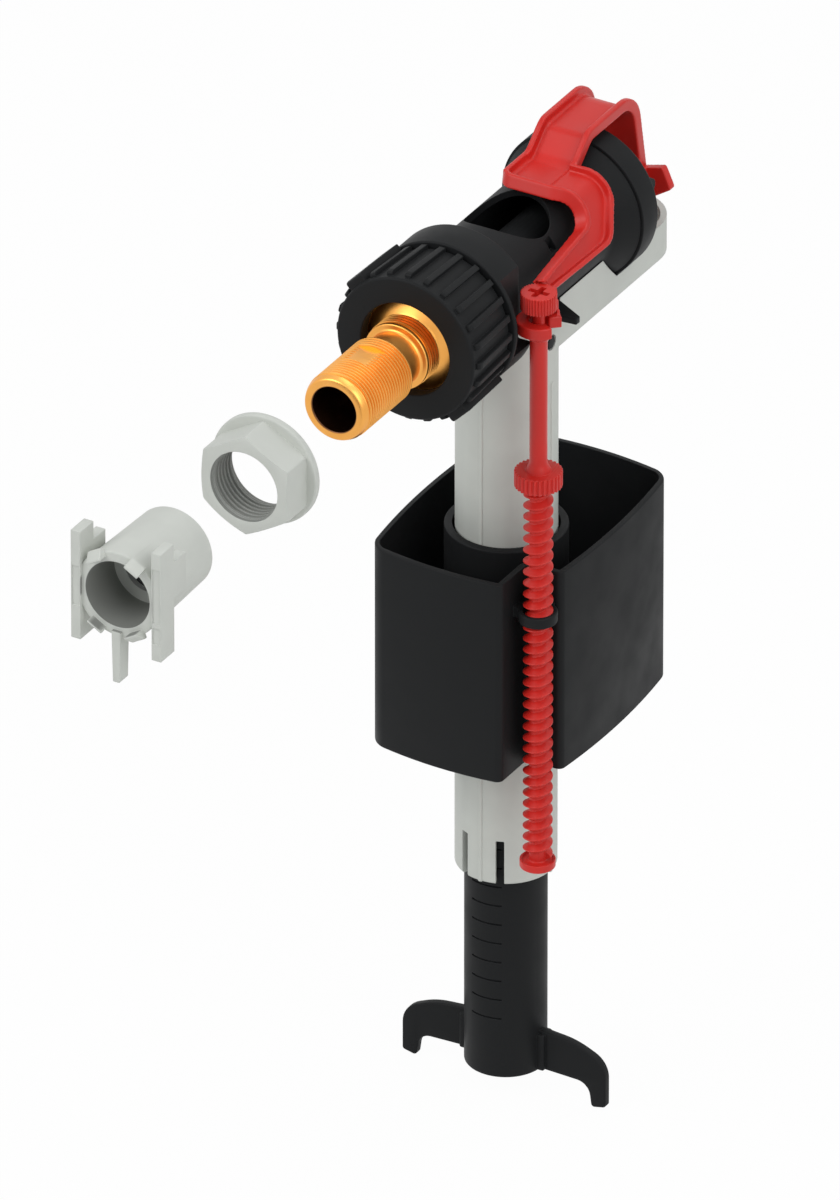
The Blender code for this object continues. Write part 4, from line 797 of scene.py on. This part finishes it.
def tab_outline(gap=0.0):
    """Plan of the release tab, which tapers towards its tip over the cradle's wall."""
    return [
        (TAB_ROOT_X, RISER_Y + TAB_ROOT[0] - gap), (TAB_TIP_X + gap, RISER_Y + TAB_TIP[0] - gap, 0.4),
        (TAB_TIP_X + gap, RISER_Y + TAB_TIP[1] + gap, 0.4), (TAB_ROOT_X, RISER_Y + TAB_ROOT[1] + gap),
    ]


CAP_R = 18.6
CAP_FRONT = 76.32
CAP_SKIRT_END = 82.9
CAP_BACK = 84.9
CAP_HUB = (6.0, 5.2, 0.8)  # radius at its root and face, and height
CAP_FLOOR = 83.7
CAP_ROOM_R = 15.3
BOSS_BACK = 91.9
BOSS_R = 3.6
PILOT_Z = -3.5
HINGE = (90.8, 1.5)
PIN_R = 1.5
EAR_NEAR = 7.1
EAR_FAR = 9.3
EAR_R = 3.1
NOZZLE_HOLE_R = 1.95


def make_cap():
    """Head cap with a chamfered rim, a low hub, ears for the hinge and the pilot's boss."""
    inner = HEAD_SPIGOT_R + SEAT_GAP
    hub_root, hub_face, hub_height = CAP_HUB
    cap = turned("cap", [
        (inner, CAP_FRONT), (CAP_R, CAP_FRONT, 0.2), (CAP_R, CAP_SKIRT_END, 0.8),
        (CAP_R - 2.0, CAP_BACK, 0.8), (hub_root, CAP_BACK, 0.5), (hub_face, CAP_BACK + hub_height, 0.3),
        (0, CAP_BACK + hub_height), (0, CAP_FLOOR), (CAP_ROOM_R, CAP_FLOOR), (CAP_ROOM_R, HEAD_BACK),
        (inner, HEAD_BACK),
    ], axis="Y")
    root = CAP_BACK - 1.0
    join(cap, disc("boss", BOSS_R, root, BOSS_BACK, (0, PILOT_Z), "Y", edge=0.3))
    ear = [(root, HINGE[1] - EAR_R)] + arc(HINGE, EAR_R, -90, 90, 20) + [(root, HINGE[1] + EAR_R)]
    for near, far in ((EAR_NEAR, EAR_FAR), (-EAR_FAR, -EAR_NEAR)):
        join(cap, plate("ear", ear, near, far, "YZ", 0.25))
    cut(
        cap,
        disc("pin_hole", PIN_R + 0.1, -EAR_FAR - 1, EAR_FAR + 1, HINGE, "X", 40),
        disc("nozzle_hole", NOZZLE_HOLE_R, CAP_BACK, BOSS_BACK + 1, (0, PILOT_Z), "Y", 40),
    )
    return finished(cap, "cap_moulding", "root", ["head_cap"], "black_plastic")


# Riser and foot

RISER_R = 11.8
RISER_WALL = 1.9
RISER_BOTTOM = -157.0
CRADLE_BOTTOM = -20.2
CRADLE_WALL = 1.5
CRADLE_FRONT_TOP = -7.0
CRADLE_BACK_TOP = -11.4
CRADLE_END = RISER_Y + 49.6
SLOT_TURN = 23
SLOT_WIDTH = 2.0
SLOT_HEIGHT = 11.5
SEAM_TURNS = (0, 90, 180, 270)
SEAM_PROUD = 0.25
SEAM_HALF = 0.45
SEAM_TOP = -28


def housing_outside(gap):
    """The outline of the housing and cap that the cradle's seat is cut with."""
    return [
        (0, COLLAR_BACK - gap), (TUBE_R + gap, COLLAR_BACK - gap), (TUBE_R + gap, CONE_START),
        (CAP_R + gap, CONE_END - gap), (CAP_R + gap, CAP_SKIRT_END), (CAP_R + gap - 2.0, CAP_BACK + gap),
        (0, CAP_BACK + gap),
    ]


def make_riser():
    """Outlet tube and open cradle: seat for the housing, snap holes, split lower end and raised seams."""
    riser = turned("riser", [
        (0, RISER_BOTTOM), (RISER_R, RISER_BOTTOM, 0.8), (RISER_R, CRADLE_BOTTOM + 2),
        (0, CRADLE_BOTTOM + 2),
    ], (0, RISER_Y, 0))
    floor = CRADLE_BOTTOM + 1.4
    join(riser, plate("cradle", stadium(RISER_R, RISER_Y, CRADLE_END), CRADLE_BOTTOM, CRADLE_FRONT_TOP))
    cut(
        riser,
        plate("tray", stadium(RISER_R - CRADLE_WALL, RISER_Y, CRADLE_END), floor, 0),
        disc("bore", RISER_R - RISER_WALL, RISER_BOTTOM - 1, 0, (0, RISER_Y), steps=ROUND_STEPS),
        turned("seat", housing_outside(SEAT_GAP), axis="Y"),
        block("low_back", (-2 * RISER_R, CONE_END, CRADLE_BACK_TOP), (2 * RISER_R, 2 * CRADLE_END, 0)),
        disc("nub_holes", NUB_R + SEAT_GAP, -2 * RISER_R, 2 * RISER_R, (RISER_Y, NUB_Z), "X", 40),
        plate("tab_notch", tab_outline(SEAT_GAP), TAB_LOW_Z - SEAT_GAP, 0),
    )
    for side in (-1, 1):
        slot = block("slot", (-SLOT_WIDTH / 2, RISER_Y - 2 * RISER_R, RISER_BOTTOM - 1),
                     (SLOT_WIDTH / 2, RISER_Y - RISER_R / 2, RISER_BOTTOM + SLOT_HEIGHT), 0.3)
        cut(riser, swung(slot, side * SLOT_TURN, (0, RISER_Y, 0)))
    for turn in SEAM_TURNS:
        seam = block("seam", (RISER_R - 0.5, RISER_Y - SEAM_HALF, RISER_BOTTOM + 0.2),
                     (RISER_R + SEAM_PROUD, RISER_Y + SEAM_HALF, SEAM_TOP), 0.12)
        join(riser, swung(seam, turn, (0, RISER_Y, 0)))
    return finished(riser, "riser_moulding", "root", ["riser"], "grey_plastic")


FOOT_R = 9.6
FOOT_WALL = 1.5
FOOT_BOTTOM = -209.7
FOOT_TOP = -120.7
NOTCHES = 12
NOTCH_LOW = 15.5
NOTCH_PITCH = 5.0
NOTCH_TURNS = (-114, -66)
NOTCH_DEPTH = 0.45
NOTCH_HEIGHT = 0.5
HOOK_REACH = 26.9


def make_foot():
    """Foot tube with its row of detent notches and two curved hooks on stems."""
    foot = turned("foot", [
        (FOOT_R - FOOT_WALL, FOOT_BOTTOM, 0.3), (FOOT_R, FOOT_BOTTOM, 0.5), (FOOT_R, FOOT_TOP, 0.3),
        (FOOT_R - FOOT_WALL, FOOT_TOP, 0.3),
    ], (0, RISER_Y, 0))
    root = FOOT_R - FOOT_WALL / 2
    end = FOOT_BOTTOM
    outline = [
        (root, end + 10.5), (HOOK_REACH - 8.3, end + 9.7, 20), (HOOK_REACH, end + 6.1, 6),
        (HOOK_REACH, end - 5.2, 0.8), (HOOK_REACH - 3.7, end - 6.0, 0.8), (HOOK_REACH - 4.5, end, 5),
        (root, end + 0.4),
    ]
    hook = plate("hook", outline, RISER_Y - 1.1, RISER_Y + 1.1, "XZ", 0.4)
    stem = block("stem", (root, RISER_Y - 2.2, end + 0.4), (FOOT_R + 1.6, RISER_Y + 2.2, end + 9.8), 0.5)
    join(foot, mirrored(hook), hook, mirrored(stem), stem)
    groove = sector((0, RISER_Y), FOOT_R - NOTCH_DEPTH, FOOT_R + 1, *NOTCH_TURNS, 12)
    for index in range(NOTCHES):
        low = end + NOTCH_LOW + index * NOTCH_PITCH
        cut(foot, plate("notch", groove, low, low + NOTCH_HEIGHT))
    return finished(foot, "foot_moulding", "foot", ["foot"], "black_plastic")


# Lever

LEVER_DEPTH = 2.9
LEVER_WEB = 1.2
LEVER_FLANGE = 1.2
FRONT_LEAN = 1.4           # how far the crossbar's front flange leans back at its rim
ARM_LEAN = 0.5
LEAN_START = 8.0           # from here outwards the arm's inner flange leans as well
ARCH_WEB = 0.9
ARCH_LIP = 1.5
ARCH_RADII = (0, 3.0, 5.0, 8.5, 0)
ARCH_HOLLOW = 1            # the bend at the arch's foot, which turns the other way
LEVER_HALF = 6.7
LEVER_FACE_Z = 14.8
CROSSBAR_FRONT = RISER_Y + 6.8
CROSSBAR_BACK = RISER_Y + 21.1
BEND_START = 8.9
BEND_RADIUS = 4.0
BEND_ANGLE = math.radians(57)
BEND_STEPS = 16
ARM_UPPER = 16.4
ARM_LOWER = 24.1
ARM_END = RISER_Y - 17.3
SPINDLE_AXIS = (19.5, 26.8)
CLIP_R = 5.3
CLIP_BORE = 2.3
CLIP_TOP = 0.3
CLIP_BOTTOM = -2.6
CLIP_WALL = (4.65, 5.5)
CLIP_WALL_STEPS = ((56, CLIP_BOTTOM, 1.2), (63, 1.0, 3.6), (70, 3.4, 6.4))   # turn, low and top
KNOB_ROOM_R = 4.6
KNOB_ROOM_TOP = 7.7
EYE_R = 3.0
EYE_WIDTH = 1.6
HOLDER_R = 3.5
HOLDER_FACE = 94.15
PAD_POCKET = (2.65, 1.15)  # radius and depth
RECESS_TOP = 4.0           # how far the recess's cutters stand above the face
VOXEL = 0.24


def bend_place(across, along, height):
    """Where a point of the flat lever sheet goes when its arm is bent down round the housing."""
    if across <= BEND_START:
        return Vector((across, along, LEVER_FACE_Z + height))
    turn = min((across - BEND_START) / BEND_RADIUS, BEND_ANGLE)
    rest = max(across - BEND_START - BEND_RADIUS * BEND_ANGLE, 0)
    radius = BEND_RADIUS + height
    x = BEND_START + radius * math.sin(turn) + rest * math.cos(BEND_ANGLE)
    z = LEVER_FACE_Z - BEND_RADIUS + radius * math.cos(turn) - rest * math.sin(BEND_ANGLE)
    return Vector((x, along, z))


def bent(name, outline, low, high):
    """A flat plate cut across at every step of the bend, and bent round the housing."""
    sheet = plate(name, outline, low, high)
    for vert in sheet.data.vertices:
        vert.co = leaned(*(vert.co / MM)) * MM
    edit(sheet)
    for step in range(BEND_STEPS + 1):
        place = BEND_START + BEND_RADIUS * BEND_ANGLE * step / BEND_STEPS
        bpy.ops.mesh.select_all(action="SELECT")
        bpy.ops.mesh.bisect(plane_co=(place * MM, 0, 0), plane_no=(1, 0, 0))
    close_edit()
    for vert in sheet.data.vertices:
        vert.co = bend_place(*(vert.co / MM)) * MM
    edit(sheet)
    bpy.ops.mesh.quads_convert_to_tris()
    close_outward()
    return sheet


def leaned(across, along, height):
    """Where a point of the straight-walled sheet goes when its front and inner flanges lean."""
    rise = height / LEVER_DEPTH
    back_share = min(max((CROSSBAR_BACK - along) / (CROSSBAR_BACK - CROSSBAR_FRONT), 0), 1)
    out_share = min(max((across - LEAN_START) / LEAN_START, 0), 1)
    low_share = min(max((ARM_LOWER - across) / (ARM_LOWER - ARM_UPPER), 0), 1)
    across += ARM_LEAN * rise * out_share * low_share
    return Vector((across, along + FRONT_LEAN * rise * back_share, height))


def sheet_corners():
    """Plan of the flat sheet: crossbar, swept outer corner and tapered arm."""
    front = CROSSBAR_FRONT
    back = CROSSBAR_BACK
    return [
        (-LEVER_HALF, front, 3.5), (7.0, front - 0.1, 8.0), (ARM_UPPER, front + 1.9, 5.0),
        (19.7, ARM_END, 0.3), (ARM_LOWER - 0.4, ARM_END, 0.3), (ARM_LOWER, back - 9.4, 7.0),
        (14.9, back, 5.0), (9.0, back - 1.0, 4.0), (-LEVER_HALF, back - 1.3, 1.0),
    ]


def arch_line():
    """Outer face of the arch in side view, front to back."""
    top = LEVER_FACE_Z + LEVER_DEPTH
    line = [(7.0 + LEVER_FLANGE + FRONT_LEAN, top), (20.0, top), (26.3, 23.2), (48.4, 23.3), (54.3, -7.7)]
    return [(RISER_Y + y, z) for y, z in line]


def arch_band(outer, outer_depth, inner, inner_depth):
    """A closed band between two lines at depths under the arch's face, with its bends kept concentric."""
    bands = []
    for line, depth in ((outer, outer_depth), (inner, inner_depth)):
        radii = [max(radius - depth, 0) for radius in ARCH_RADII]
        radii[ARCH_HOLLOW] = max(ARCH_RADII[ARCH_HOLLOW] + depth, 0)
        radii[0] = radii[-1] = 0
        bands.append([(y, z, radius) for (y, z), radius in zip(line, radii)])
    return bands[0] + bands[1][::-1]


def make_lever():
    """Red channel lever: crossbar, arch over the cap, bent arm, snap ring, hinge eyes and thumb tab."""
    corners = sheet_corners()
    line = arch_line()
    web_face = beside(line, LEVER_DEPTH)
    lever = bent("lever", corners, 0, LEVER_DEPTH)
    eye_root = web_face[-1][0]
    eye = [(eye_root, HINGE[1] + EYE_R)] + arc(HINGE, EYE_R, 90, 270, 20) + [(eye_root, HINGE[1] - EYE_R)]
    join(
        lever,
        plate("arch", arch_band(line, 0, web_face, LEVER_DEPTH), -LEVER_HALF, LEVER_HALF, "YZ"),
        disc("pad_holder", HOLDER_R, HOLDER_FACE, eye_root, (0, PILOT_Z), "Y"),
        plate("eye", eye, LEVER_HALF - EYE_WIDTH, LEVER_HALF, "YZ"),
        plate("eye", eye, -LEVER_HALF, EYE_WIDTH - LEVER_HALF, "YZ"),
    )
    skin = beside(line, LEVER_DEPTH - ARCH_WEB)
    skin[0] = (skin[0][0] + LEVER_FLANGE, skin[0][1])
    leg = (Vector(skin[-1]) - Vector(skin[-2])).normalized()
    skin[-1] = tuple(Vector(skin[-1]) - leg * LEVER_FLANGE)
    over = beside(line, -RECESS_TOP)
    over[0] = (skin[0][0], over[0][1])
    over[-1] = tuple(Vector(over[-1]) - leg * LEVER_FLANGE)
    inner_half = LEVER_HALF - ARCH_LIP
    arch_recess = arch_band(over, -RECESS_TOP, skin, LEVER_DEPTH - ARCH_WEB)
    pad_r, pad_depth = PAD_POCKET
    cut(
        lever,
        bent("recess", inset(corners, LEVER_FLANGE), LEVER_WEB, LEVER_DEPTH + RECESS_TOP),
        plate("arch_recess", arch_recess, -inner_half, inner_half, "YZ"),
        disc("knob_room", KNOB_ROOM_R, 1.5, KNOB_ROOM_TOP, SPINDLE_AXIS),
        disc("pin_hole", PIN_R + 0.15, -LEVER_HALF - 1, LEVER_HALF + 1, HINGE, "X", 40),
        disc("pad_pocket", pad_r, HOLDER_FACE - 1, HOLDER_FACE + pad_depth, (0, PILOT_Z), "Y", 40),
    )
    high = line[-1][0] - LEVER_WEB / 2
    tab_root = LEVER_HALF - 1.2
    tab = [(tab_root, 1.0), (11.2, 2.6, 0.7), (13.5, -2.6, 0.7), (8.9, -5.6, 0.7), (tab_root, -4.0)]
    parts = [
        lever,
        plate("clip_ring", sector(SPINDLE_AXIS, CLIP_BORE, CLIP_R, 40, 335, 64), CLIP_BOTTOM, CLIP_TOP),
        plate("clip_ledge", sector(SPINDLE_AXIS, CLIP_BORE, CLIP_R, 95, 145, 16), CLIP_BOTTOM, 2.0),
        plate("thumb_tab", tab, high - 2.2, high, "XZ"),
    ]
    for start, low, top in CLIP_WALL_STEPS:
        parts.append(plate("clip_wall", sector(SPINDLE_AXIS, *CLIP_WALL, start, 150, 24), low, top))
    gathered(parts)
    remoulded(lever, VOXEL, 6, 0.4)
    return finished(lever, "lever_moulding", "lever", ["lever"], "red_plastic", 60)


# Spindle

KNOB_R = 4.2
KNOB_TOP = 7.3
KNOB_LOW = 3.1
KNOB_SLOT = (2.55, 0.72)    # half length and half width
WHEEL_R = 5.55
WHEEL_TOP = -39.0
WHEEL_LOW = -42.9
SCREW_R = 3.45
SCREW_CORE = 2.0
SCREW_PITCH = 2.9
SCREW_BOTTOM = -141.0
SCREW_TOOTH = (0.96, 0.09)  # shares of the pitch at its foot and crest
ROD_R = 2.05
NECK_R = 1.4
NECK_FLANGE_R = 3.0
DISH_LOW = (-142.8, -143.25)
KNURL = (0.28, 36)         # depth and number of teeth
WHEEL_TEETH = (0.42, 30)


def make_spindle():
    """Knurled knob with a cross slot, rod, setting wheel, deep V screw and end dish."""
    spindle = turned("spindle", [
        (0, 5.0), (NECK_R, 5.0), (NECK_R, -3.25, 0.2), (NECK_FLANGE_R, -3.25, 0.25),
        (NECK_FLANGE_R, -4.05, 0.25), (ROD_R, -4.7, 0.6), (ROD_R, -37.0, 3.0),
        (NECK_FLANGE_R, WHEEL_TOP + 0.1), (NECK_FLANGE_R, WHEEL_LOW + 0.5),
        (SCREW_CORE, WHEEL_LOW - 0.4, 0.3), (SCREW_CORE, SCREW_BOTTOM - 0.2, 0.5),
        (3.6, SCREW_BOTTOM - 0.45, 0.1), (3.75, SCREW_BOTTOM, 0.1),
        (4.15, SCREW_BOTTOM, 0.15), (4.15, DISH_LOW[0], 0.3), (SCREW_R, DISH_LOW[1], 0.3), (0, DISH_LOW[1]),
    ])
    turns = math.floor((WHEEL_LOW - SCREW_BOTTOM) / SCREW_PITCH)
    ridge = thread("ridge", "Z", (SCREW_CORE - BITE, SCREW_R), SCREW_BOTTOM + 1.2, turns, SCREW_PITCH,
                   SCREW_TOOTH, 56)
    knob = plate("knob", toothed(KNOB_R, *KNURL), KNOB_LOW, KNOB_TOP, edge=0.16)
    wheel = plate("wheel", toothed(WHEEL_R, *WHEEL_TEETH), WHEEL_LOW, WHEEL_TOP, edge=0.2)
    join(spindle, ridge, knob, wheel)
    reach, half = KNOB_SLOT
    for degrees in (0, 90):
        slot = block("slot", (-reach, -half, KNOB_TOP - 1.8), (reach, half, 2 * KNOB_TOP), 0.15)
        cut(spindle, swung(slot, degrees))
    shifted(spindle, (*SPINDLE_AXIS, 0))
    return finished(spindle, "spindle_moulding", "spindle", ["spindle"], "red_plastic", 28)


# Float

FLOAT_HALF_X = 21.4
FLOAT_FRONT = RISER_Y - 25.2
FLOAT_BACK = RISER_Y + 37.2
FLOAT_CORNER_R = 4.0
FLOAT_BOW = 2.5            # how far each side stands out in its middle
BOW_STEP = 3.0
BOW_BLEND = 4.0            # over which the bow sets in towards a side
FLOAT_TOP = -67.7
FLOAT_BOTTOM = -119.5
FLOAT_WALL = 1.3
NOTCH_X = 13.8
NOTCH_Y = 31.7
BORE_R = 12.4
FLOAT_COLLAR_R = 14.3
FLOAT_CLIP_TOP = -75.7
FLOAT_CLIP_LOW = -78.4
FLOAT_CLIP_R = 4.5


def bowed(x, y):
    """Where a point of the straight-sided plan goes when the cup's four sides are bowed outwards."""
    middle = (FLOAT_FRONT + FLOAT_BACK) / 2
    half = (FLOAT_BACK - FLOAT_FRONT) / 2
    out = y - middle
    beside_notch = min(max((abs(x) - NOTCH_X) / BOW_BLEND, 0), 1)
    near_end = min(max((abs(out) - half + 2 * BOW_BLEND) / BOW_BLEND, 0), 1)
    sideways = FLOAT_BOW * (1 - (out / half) ** 2) * beside_notch
    endways = FLOAT_BOW * (1 - (x / FLOAT_HALF_X) ** 2) * near_end
    return x + math.copysign(sideways, x), y + math.copysign(endways, out)


def cup_outline(wall):
    """Plan of the cup a wall's thickness inside its outer face, with its notch for the spindle."""
    half = FLOAT_HALF_X
    corners = [
        (-half, FLOAT_FRONT, FLOAT_CORNER_R), (NOTCH_X, FLOAT_FRONT, 1.5), (NOTCH_X, NOTCH_Y, 1.5),
        (half, NOTCH_Y, 1.5), (half, FLOAT_BACK, FLOAT_CORNER_R), (-half, FLOAT_BACK, FLOAT_CORNER_R),
    ]
    plain = rounded(inset(corners, wall) if wall else corners)
    points = []
    for here, there in zip(plain, plain[1:] + plain[:1]):
        steps = math.ceil(math.dist(here, there) / BOW_STEP)
        points += [bowed(*Vector(here).lerp(Vector(there), step / steps)) for step in range(steps)]
    return points


def make_float():
    """Float cup: bowed walls, a notch with the clip for the screw, a collar and an inner rib."""
    cup = plate("cup", cup_outline(0), FLOAT_BOTTOM, FLOAT_TOP, edge=0.3)
    floor = FLOAT_BOTTOM + FLOAT_WALL
    cut(cup, plate("inside", cup_outline(FLOAT_WALL), floor, FLOAT_TOP + 1))
    join(cup, turned("collar", [
        (0, FLOAT_BOTTOM + 0.6), (FLOAT_COLLAR_R, FLOAT_BOTTOM + 0.6), (FLOAT_COLLAR_R, FLOAT_TOP, 0.4),
        (0, FLOAT_TOP),
    ], (0, RISER_Y, 0)))
    rib_x = -FLOAT_HALF_X / 2
    join(cup, block("rib", (rib_x - 0.5, FLOAT_BACK - 2.0, floor - 0.65),
                    (rib_x + 0.5, FLOAT_BACK + 1.2, FLOAT_TOP - 3), 0.2))
    cut(cup, disc("bore", BORE_R, FLOAT_BOTTOM - 1, FLOAT_TOP + 1, (0, RISER_Y), steps=ROUND_STEPS))
    x, y = SPINDLE_AXIS
    join(
        cup,
        disc("clip", FLOAT_CLIP_R, FLOAT_CLIP_LOW, FLOAT_CLIP_TOP, SPINDLE_AXIS, edge=0.35),
        block("side_arm", (NOTCH_X - 0.65, y - 1.5, FLOAT_CLIP_LOW), (x, y + 1.5, FLOAT_CLIP_TOP), 0.3),
        block("back_arm", (x - 1.5, y, FLOAT_CLIP_LOW), (x + 1.5, NOTCH_Y + 0.65, FLOAT_CLIP_TOP), 0.3),
    )
    cut(cup, disc("screw_hole", 3.6, FLOAT_CLIP_LOW - 1, FLOAT_CLIP_TOP + 1, SPINDLE_AXIS))
    return finished(cup, "float_moulding", "float", ["float"], "black_plastic")


# Counter nut and adapter

NUT_FRONT = -72.1
NUT_BACK = -61.4
NUT_FLAT_R = 11.0
FLANGE_R = 13.6
FLANGE_T = 1.8
NUT_HOLE_R = 8.42          # clears the tail's thread when the nut is on it
NUT_PITCH = 1.34
NUT_RELIEF_R = 9.3
NUT_THREAD = (0.94, 0.25)  # shares of the pitch at a tooth's foot and crest


def make_counter_nut():
    """Hexagon nut with chamfered corners, a round flange and a threaded hole."""
    corner_r = NUT_FLAT_R / math.cos(math.pi / 6)
    hexagon = [(x, z, 0.5) for x, z in arc((0, 0), corner_r, 30, 330, 5)]
    nut = plate("nut", hexagon, NUT_FRONT, NUT_BACK - FLANGE_T / 2, "XZ")
    trim = turned("trim", [
        (0, NUT_FRONT - 1), (NUT_FLAT_R - 2.0, NUT_FRONT - 1), (NUT_FLAT_R + 1.6, NUT_FRONT + 0.8),
        (NUT_FLAT_R + 3, NUT_BACK), (0, NUT_BACK),
    ], axis="Y")
    combine(nut, trim, "INTERSECT")
    flange_front = NUT_BACK - FLANGE_T
    flange = [(0, flange_front), (FLANGE_R, flange_front, 0.5), (FLANGE_R, NUT_BACK, 0.3), (0, NUT_BACK)]
    join(nut, turned("flange", flange, axis="Y"))
    thread_start = NUT_FRONT + 1.3
    hole = turned("hole", [
        (0, NUT_FRONT - 1), (NUT_HOLE_R + 0.3, NUT_FRONT - 1), (NUT_HOLE_R + 0.3, thread_start - 0.2),
        (NUT_HOLE_R, thread_start), (NUT_HOLE_R, flange_front), (NUT_RELIEF_R, flange_front),
        (NUT_RELIEF_R, NUT_BACK + 1), (0, NUT_BACK + 1),
    ], axis="Y")
    turns = math.floor((flange_front - thread_start) / NUT_PITCH)
    radii = (NUT_HOLE_R - 0.4, NUT_HOLE_R + 0.8)
    join(hole, thread("ridge", "Y", radii, thread_start + 0.7, turns, NUT_PITCH, NUT_THREAD))
    cut(nut, hole)
    return finished(nut, "counter_nut_threaded", "counter_nut", ["counter_nut"], "grey_plastic")


ADAPTER_FRONT = -128.7
ADAPTER_BACK = -102.9
ADAPTER_R_FRONT = 10.7
ADAPTER_R_BACK = 10.0
ADAPTER_BORE_R = 8.3
ADAPTER_STEP = -115.2
STEP_LENGTH = 1.5
STEP_HOLE_R = 5.5
SOCKET_BORE_R = 8.63
BAR_X = 10.4
BAR_HALF_WIDTH = 1.25
BAR_HALF = 13.8
ADAPTER_FACE_IN = 0.8      # how far the socket's ring lies behind the bars
CLAW_TURNS = (60, 120, 240, 300)
CLAW_REACH = 2.5
CLAW_R = 11.5
CLAW_WIDTH = 3.9
PANELS = ((-1, -5.3, 4.9), (1, -4.3, 9.6), (1, -9.6, -5.4))   # side, and height of the field's ends
PANEL_HALF = 0.95
PANEL_DEPTH = 0.25


def make_adapter():
    """Adapter socket with two grip bars, bare recessed panels, four snap claws and a leg."""
    face = ADAPTER_FRONT + ADAPTER_FACE_IN
    adapter = turned("adapter", [
        (0, face), (ADAPTER_R_FRONT, face, 0.4), (ADAPTER_R_BACK, ADAPTER_BACK, 0.3), (0, ADAPTER_BACK),
    ], axis="Y")
    for side in (-1, 1):
        middle = side * BAR_X
        join(
            adapter,
            block("bar", (middle - BAR_HALF_WIDTH, ADAPTER_FRONT, -BAR_HALF),
                  (middle + BAR_HALF_WIDTH, ADAPTER_FRONT + 6, BAR_HALF), 0.15),
            block("bar_step", (middle - BAR_HALF_WIDTH, face, 0),
                  (middle + BAR_HALF_WIDTH, ADAPTER_FRONT + 11.2, BAR_HALF - 4.6), 0.15),
        )
    leg = [(-1.2, -9.1), (-0.9, -22.2, 0.3), (0.9, -22.2, 0.3), (1.2, -9.1)]
    join(adapter, plate("leg", leg, ADAPTER_FRONT, ADAPTER_FRONT + 3.8, "XZ", 0.15))
    tip = face - CLAW_REACH
    side_view = [
        (9.3, face + 2), (9.3, tip), (9.8, tip, 0.2), (CLAW_R, tip + 2.0, 0.2), (CLAW_R, tip + 2.8, 0.2),
        (10.5, tip + 3.0), (10.5, face + 2),
    ]
    for turn in CLAW_TURNS:
        claw = plate("claw", side_view, -CLAW_WIDTH / 2, CLAW_WIDTH / 2, "XY", 0.12)
        join(adapter, swung(claw, turn, axis="Y"))
    step_end = ADAPTER_STEP + STEP_LENGTH
    bore = turned("bore", [
        (0, tip - 1), (ADAPTER_BORE_R, tip - 1), (ADAPTER_BORE_R, ADAPTER_STEP), (STEP_HOLE_R, ADAPTER_STEP),
        (STEP_HOLE_R, step_end), (SOCKET_BORE_R, step_end), (SOCKET_BORE_R, ADAPTER_BACK + 1),
        (0, ADAPTER_BACK + 1),
    ], axis="Y")
    cut(adapter, bore)
    for side, low, high in PANELS:
        middle = side * BAR_X
        cut(adapter, block("panel", (middle - PANEL_HALF, ADAPTER_FRONT - 1, low),
                           (middle + PANEL_HALF, ADAPTER_FRONT + PANEL_DEPTH, high), 0.05))
    return finished(adapter, "adapter_moulding", "adapter", ["adapter"], "grey_plastic")


# Finishes

FINISHES = {
    "red_plastic": moulded_plastic(
        "red_plastic_satin", (0.62, 0.021, 0.015), (0.74, 0.06, 0.045), (0.32, 0.44),
        grain=0.30, grain_depth=0.006, edge=0.22, specular=0.34),
    "black_plastic": moulded_plastic(
        "black_plastic_satin", (0.0125, 0.0132, 0.0138), (0.026, 0.028, 0.029), (0.46, 0.58),
        grain=0.28, grain_depth=0.010, specular=0.10),
    "grey_plastic": moulded_plastic(
        "grey_plastic_grained", (0.60, 0.617, 0.57), (0.68, 0.70, 0.66), (0.50, 0.62),
        grain=0.35, grain_depth=0.015, specular=0.40, bore_shade=0.42),
    "white_plastic": moulded_plastic(
        "white_plastic_plain", (0.75, 0.75, 0.73), (0.8, 0.8, 0.78), (0.45, 0.55),
        grain=0.40, grain_depth=0.008),
    "rubber": moulded_plastic(
        "rubber_matte", (0.015, 0.015, 0.016), (0.03, 0.03, 0.03), (0.70, 0.82),
        grain=0.20, grain_depth=0.012),
    "brass": turned_brass("brass_turned", (0.90, 0.44, 0.11), (0.80, 0.36, 0.075), (0.28, 0.35)),
}


def dress_cad_nodes():
    """Give the CAD nodes that stay the finish that their record names."""
    for subpart in frame["record"]["subparts"]:
        node = frame["nodes"][subpart["node"]]
        for slot in node.material_slots:
            slot.material = FINISHES[subpart["material_slot"]]


make_camera()
make_stage()
for lamp_settings in LAMPS:
    make_lamp(*lamp_settings)
dress_cad_nodes()
for make in (make_tail, make_union_nut, make_housing, make_cap, make_riser, make_foot, make_lever,
             make_spindle, make_float, make_counter_nut, make_adapter):
    make()

bpy.context.scene.view_settings.view_transform = "Standard"
bpy.context.view_layer.update()
